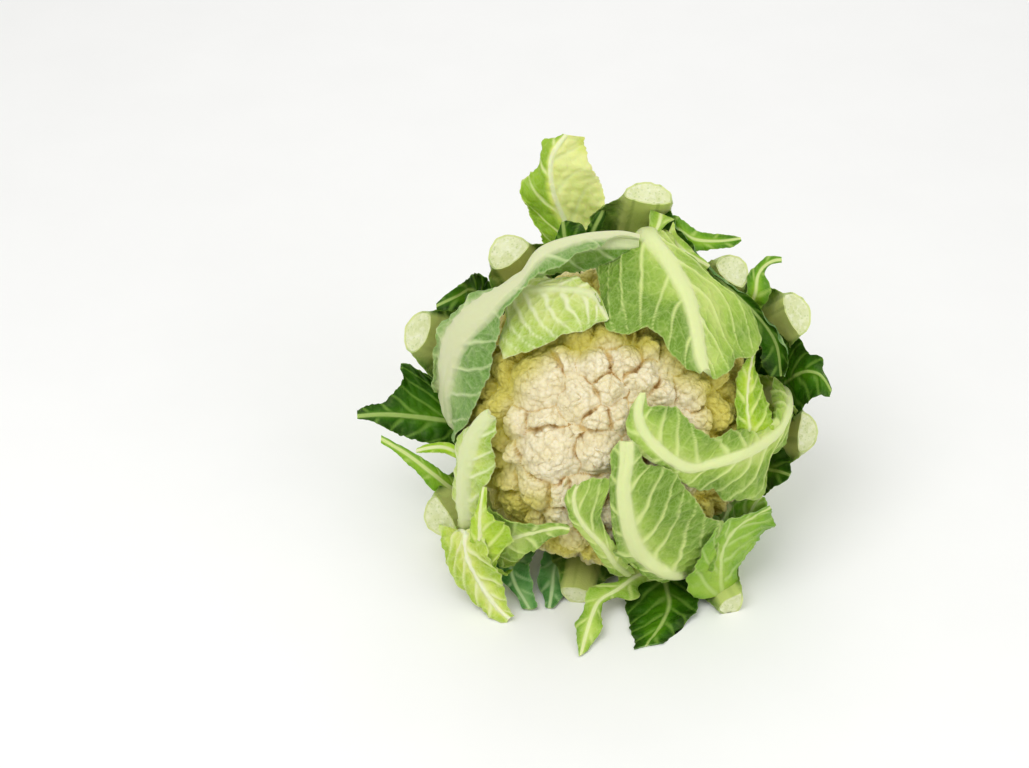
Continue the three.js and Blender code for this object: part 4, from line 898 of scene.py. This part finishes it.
grow_leaf(
    "leaf_left_arching", PALE, rib_wide=22, rib_high=4, finishes=FLAP_PAIR, vein_gap=20,
    greener=(0.1, 0.5), ruffle=1.4, grooves=0.2,
    left=[(-28, 10, -92), (-62, 10, -62), (-84, 6, -35), (-91, 5, -15), (-91, 18, -5), (-88, 33, 5),
        (-80, 45, 12), (-70, 52, 17), (-60, 55, 21), (-50, 59, 24), (-42, 60, 22), (-28, 61, 18),
        (-12, 64, 18), (1, 70, 16), (13, 75, 15)],
    rib=[(-25, -5, -95), (-60, -12, -60), (-82, -8, -30), (-84, 0, -20), (-83, 20, 5),
        (-76, 36, 20), (-62, 48, 28), (-47, 60, 30), (-38, 72, 27), (-20, 78, 22), (0, 79.5, 18),
        (13, 78, 16)],
    right=[(-22, -20, -90), (-55, -30, -52), (-73, -28, -12), (-79, -18, 10), (-72, -10, 16),
        (-68, 3, 22), (-62, 20, 28), (-59, 32, 33), (-57, 41, 37), (-47, 53, 38), (-40, 62, 35),
        (-30, 65, 34), (-20, 70, 31), (-12, 74, 28), (0, 79, 20), (13, 77, 16)])
grow_leaf(
    "leaf_top_left_inner", PALE, rib_wide=5, rib_high=1.5, finishes=LIGHT_PAIR, vein_gap=10,
    vein_high=0.5,
    left=[(-50, 62, 5), (-40, 58, 14), (-28, 60, 20), (-22, 58.5, 26), (-16, 53, 33), (-9, 45, 38),
        (-5, 38.5, 39)],
    rib=[(-52, 58, 8), (-45, 54, 22), (-30, 54, 28), (-20, 53, 32), (-12, 50, 35), (-8, 43, 38),
        (-5, 38.5, 39)],
    right=[(-58, 50, 8), (-55, 38, 20), (-57, 20, 28), (-50, 23, 33), (-43, 25, 36),
        (-33, 29, 38.5), (-25, 31, 40), (-12, 38, 40), (-5, 38.5, 39)])
grow_leaf(
    # Painted shade: its left half is darker, from the hollow behind the thin leaf.
    "leaf_upper_right_big", PALE, rib_wide=14, rib_high=3.5, vein_gap=19, slope=1.1,
    greener=(0.45, -0.1), fold=2.2, ruffle=1.6,
    left=[(-2, 42, -85), (2, 70, -45), (-2, 78, -8), (-8, 66, 10), (-11, 62, 16), (-10, 50, 26),
        (-8, 41, 34), (-6, 34, 40), (3, 32, 41.5), (14, 35, 41), (19, 31, 42), (25, 23, 42),
        (33, 15, 42), (42, 11, 40)],
    rib=[(8, 40, -88), (12, 72, -50), (13, 82, -10), (16, 77, 12), (22, 70, 20), (28, 60, 27),
        (33, 50, 32), (36, 40, 36), (38, 30, 38), (39.5, 20, 39), (43, 12, 39)],
    right=[(22, 40, -85), (28, 72, -45), (25, 80, -10), (34, 66, 8), (45, 57, 12), (55, 49, 15),
        (62, 42, 17), (67, 38, 18), (69, 28, 20), (65, 22, 24), (57, 20, 29), (52, 14, 33),
        (47, 10, 36), (43, 11, 39)])
grow_leaf(
    "leaf_right_cross", PALE, rib_wide=9, rib_high=3, vein_gap=13, slope=0.7, greener=(0, 0.1),
    fold=2.2, ruffle=2.4,
    left=[(24, 5, -88), (49.5, 10, -62), (70.5, 13.5, -28), (74, 0, 0), (75, -8, 8), (66, -14, 18),
        (58, -15, 24), (53, -14, 28), (47, -17, 31), (41, -17, 34), (35, -12, 40), (27, -4, 45),
        (20, -2.5, 48), (14, -3, 50), (12, 7, 52)],
    rib=[(27, -9, -90), (56, -5, -62), (78.5, 5, -25), (82, -4, 0), (77, -15, 13), (68, -22, 22),
        (58, -27, 30), (45, -31, 34), (35, -33, 37), (28, -31, 41), (20, -25, 46), (12, -16, 49),
        (9, -8, 51), (10, 2, 52), (12, 7, 52)],
    right=[(26, -24, -88), (57, -20, -60), (84.5, -12, -30), (85, -3, -10), (80, -18, 2),
        (76, -25, 8), (72, -35, 12), (70, -46, 10), (60, -49, 16), (52, -49, 20), (45, -44, 26),
        (37, -43, 30), (30, -40, 35), (24, -35, 40), (14, -27, 45), (7, -19, 48), (3, -11, 50),
        (6, -2, 52), (12, 7, 52)])
grow_leaf(
    "leaf_lower_big", PALE, rib_wide=10, rib_high=3, vein_gap=15, slope=0.8, greener=(0.3, 0.35),
    fold=1.8, taper=0.3,
    left=[(8, -36, -86), (16, -56, -58), (22, -72, -32), (22, -88, -8), (15, -87, 6), (3, -76, 17),
        (-1, -68, 24), (-3, -61, 29), (-4, -53, 35), (-5, -44, 39), (-5, -35, 43), (-4, -25, 46),
        (1, -17, 49)],
    rib=[(15, -33, -88), (24, -54, -60), (32, -72, -35), (32, -84, -10), (22, -84, 8),
        (11, -76, 17), (5, -65, 29), (2.5, -53, 38), (1.6, -42, 43.5), (3, -30, 47), (3, -17, 49)],
    right=[(24, -32, -86), (34, -50, -58), (42, -68, -32), (42, -84, -12), (45, -82, 0),
        (48, -72, 10), (50, -61, 22), (42, -56, 28), (37, -48, 33), (31, -41, 37), (22, -32, 42),
        (13, -31, 46), (9, -23, 48), (4, -17, 50)])
grow_leaf(
    "leaf_lower_small_pale", PALE, rib_wide=4, rib_high=1.2,
    left=[(-2, -86, -8), (-8, -81, 8), (-14, -71, 22), (-23, -60, 31), (-26, -52, 36),
        (-26, -45, 40), (-21, -40, 43)],
    rib=[(4, -85, -8), (-2, -80, 8), (-8, -71, 23), (-18, -60, 32), (-22, -52, 37), (-22, -45, 41),
        (-20, -41, 43)],
    right=[(8, -84, -6), (2, -76, 12), (0, -71, 20), (-3, -67, 25), (-8, -60, 32), (-9, -54, 35),
        (-7, -47, 39), (-5, -39, 44), (-12, -38, 45), (-20, -40, 43)])
grow_leaf(
    "leaf_left_lower_pale", PALE, rib_wide=12, rib_high=3.5, finishes=LIGHT_PAIR, taper=0.35,
    left=[(-26, -20, -88), (-58, -40, -62), (-78, -58, -30), (-79, -62, -10), (-81, -50, 0),
        (-81, -38, 8), (-79, -26, 15), (-74, -15, 24), (-68, -9, 30), (-61, -5, 37)],
    rib=[(-20, -28, -88), (-50, -52, -60), (-70, -66, -30), (-75, -60, -5), (-76, -48, 8),
        (-76, -35, 18), (-74, -24, 26), (-70, -14, 32), (-65, -8, 36), (-61, -6, 38)],
    right=[(-14, -33, -86), (-42, -58, -54), (-62, -74, -24), (-70, -64, -2), (-68, -50, 14),
        (-65, -42, 22), (-61, -32, 28), (-62, -20, 32), (-60, -14, 34), (-61, -6, 38)])
grow_leaf(
    "leaf_bottom_ragged_pale", PALE, rib_wide=3, rib_high=1,
    left=[(-54, -62, -28), (-66, -70, -12), (-65, -58, 6), (-64, -50, 16), (-57, -55, 20),
        (-50, -60, 22), (-42, -61.5, 26), (-36, -60, 27), (-25, -60, 31)],
    rib=[(-46, -66, -30), (-60, -76, -14), (-62, -72, 0), (-55, -68, 10), (-48, -66, 17),
        (-40, -64, 22), (-30, -62, 28), (-23, -63, 30)],
    right=[(-40, -70, -30), (-54, -82, -14), (-56, -79, -4), (-51, -80, 2), (-47, -77, 8),
        (-43, -74, 12), (-38, -71, 17), (-33, -67.5, 22), (-25, -65, 28)])
grow_leaf(
    "leaf_bottom_small_pale", PALE, rib_wide=3, rib_high=1, shows=INNER,
    left=[(8, -62, -44), (8, -79, -18), (2, -78, -12), (-1, -88, -6), (-14, -91, -2),
        (-18, -101, 4), (-21.5, -110, 8), (-21, -118, 13), (-19.5, -126, 18.5)],
    rib=[(14, -62, -46), (14, -82, -18), (6, -87, -10), (-2, -93, -4), (-10, -98, 2),
        (-14, -106, 8), (-17, -116, 13), (-19.5, -126, 18.5)],
    right=[(20, -62, -46), (17, -85, -20), (9, -93, -12), (6, -97, -8), (-2, -96.5, -4),
        (-8, -99, 1), (-8.5, -107, 5), (-11, -115, 10), (-16, -123, 16)])
grow_leaf(
    "leaf_upper_curl_left", PALE, rib_wide=2, rib_high=0.6, shows=INNER,
    left=[(13, 79.5, -3), (14, 86, -6), (14.5, 93, -8)],
    rib=[(16, 79.5, -4), (19, 86, -7), (20, 91, -9)],
    right=[(19, 82, -5), (24, 86, -8), (26, 88, -10)])
grow_leaf(
    "leaf_upper_curl_right", PALE, rib_wide=2, rib_high=0.6, shows=INNER,
    left=[(26, 87, -8), (29, 80, -5), (35, 74, -3), (44, 66, 0)],
    rib=[(24, 82, -8), (27, 77, -5), (32, 72, -2), (44, 65, 0)],
    right=[(23, 78, -9), (25, 74, -6), (30, 69, -3), (42, 63, 0)])

# ---------------------------------------------------------------------------------------------
# The table it lies on, the studio lights and the camera.
# ---------------------------------------------------------------------------------------------
def table_finish():
    """A plain pale matt table top."""
    material, tree, shader, place = new_finish("pale matt table top")
    clouds = add_node(tree, "ShaderNodeTexNoise", "Fac", Vector=place, Scale=1 / (60 * MM), Detail=3)
    shade = add_node(tree, "ShaderNodeMix", 2, COLOURS, _0=clouds, _6=linear("#F6F6F4"),
                     _7=linear("#FAFAF8"))
    tree.links.new(shade, shader.inputs["Base Color"])
    shader.inputs["Roughness"].default_value = 0.7
    return material


def make_table():
    bm = bmesh.new()
    bmesh.ops.create_grid(bm, x_segments=2, y_segments=2, size=3)
    mesh = bpy.data.meshes.new("table_top")
    bm.to_mesh(mesh)
    bm.free()
    mesh.materials.append(table_finish())
    table = bpy.data.objects.new("table_top", mesh)
    bpy.context.scene.collection.objects.link(table)


def soft_light(name, place, aim, width, watts):
    """A square studio softbox at a place, turned to aim at a point."""
    lamp = bpy.data.lights.new(name, "AREA")
    lamp.shape, lamp.size, lamp.energy = "SQUARE", width, watts
    light = bpy.data.objects.new(name, lamp)
    light.location = place
    light.rotation_euler = (Vector(aim) - Vector(place)).to_track_quat("-Z", "Y").to_euler()
    bpy.context.scene.collection.objects.link(light)


make_table()
MIDDLE = (0, 0, 0.08)                   # of the head, in metres, where the lights aim
soft_light("key_softbox", (-0.45, -0.55, 1.25), MIDDLE, 0.9, 8.5)
soft_light("fill_softbox", (0.9, -0.7, 0.7), MIDDLE, 0.9, 3)
soft_light("back_softbox", (0.1, 1.1, 0.9), MIDDLE, 0.8, 2.5)

world = bpy.data.worlds.new("studio")
world.use_nodes = True
sky = world.node_tree.nodes["Background"]
sky.inputs["Color"].default_value = linear("#FFFFFF")
sky.inputs["Strength"].default_value = 0.62
bpy.context.scene.world = world
bpy.context.scene.view_settings.view_transform = "Standard"

# The camera looks down along the head's axis from about a metre, as a person does at a worktop.
FRAME_WIDTH, FOCAL_PX = 1029, 2200
CAMERA_SEAT = Vector((-51.45, 7.8, 1073))
camera = bpy.data.objects.new("camera", bpy.data.cameras.new("camera"))
camera.data.sensor_width = 36
camera.data.lens = 36 * FOCAL_PX / FRAME_WIDTH
camera.location = HEAD @ CAMERA_SEAT
camera.rotation_euler = (LEAN, 0, 0)
bpy.context.scene.collection.objects.link(camera)
bpy.context.scene.camera = camera
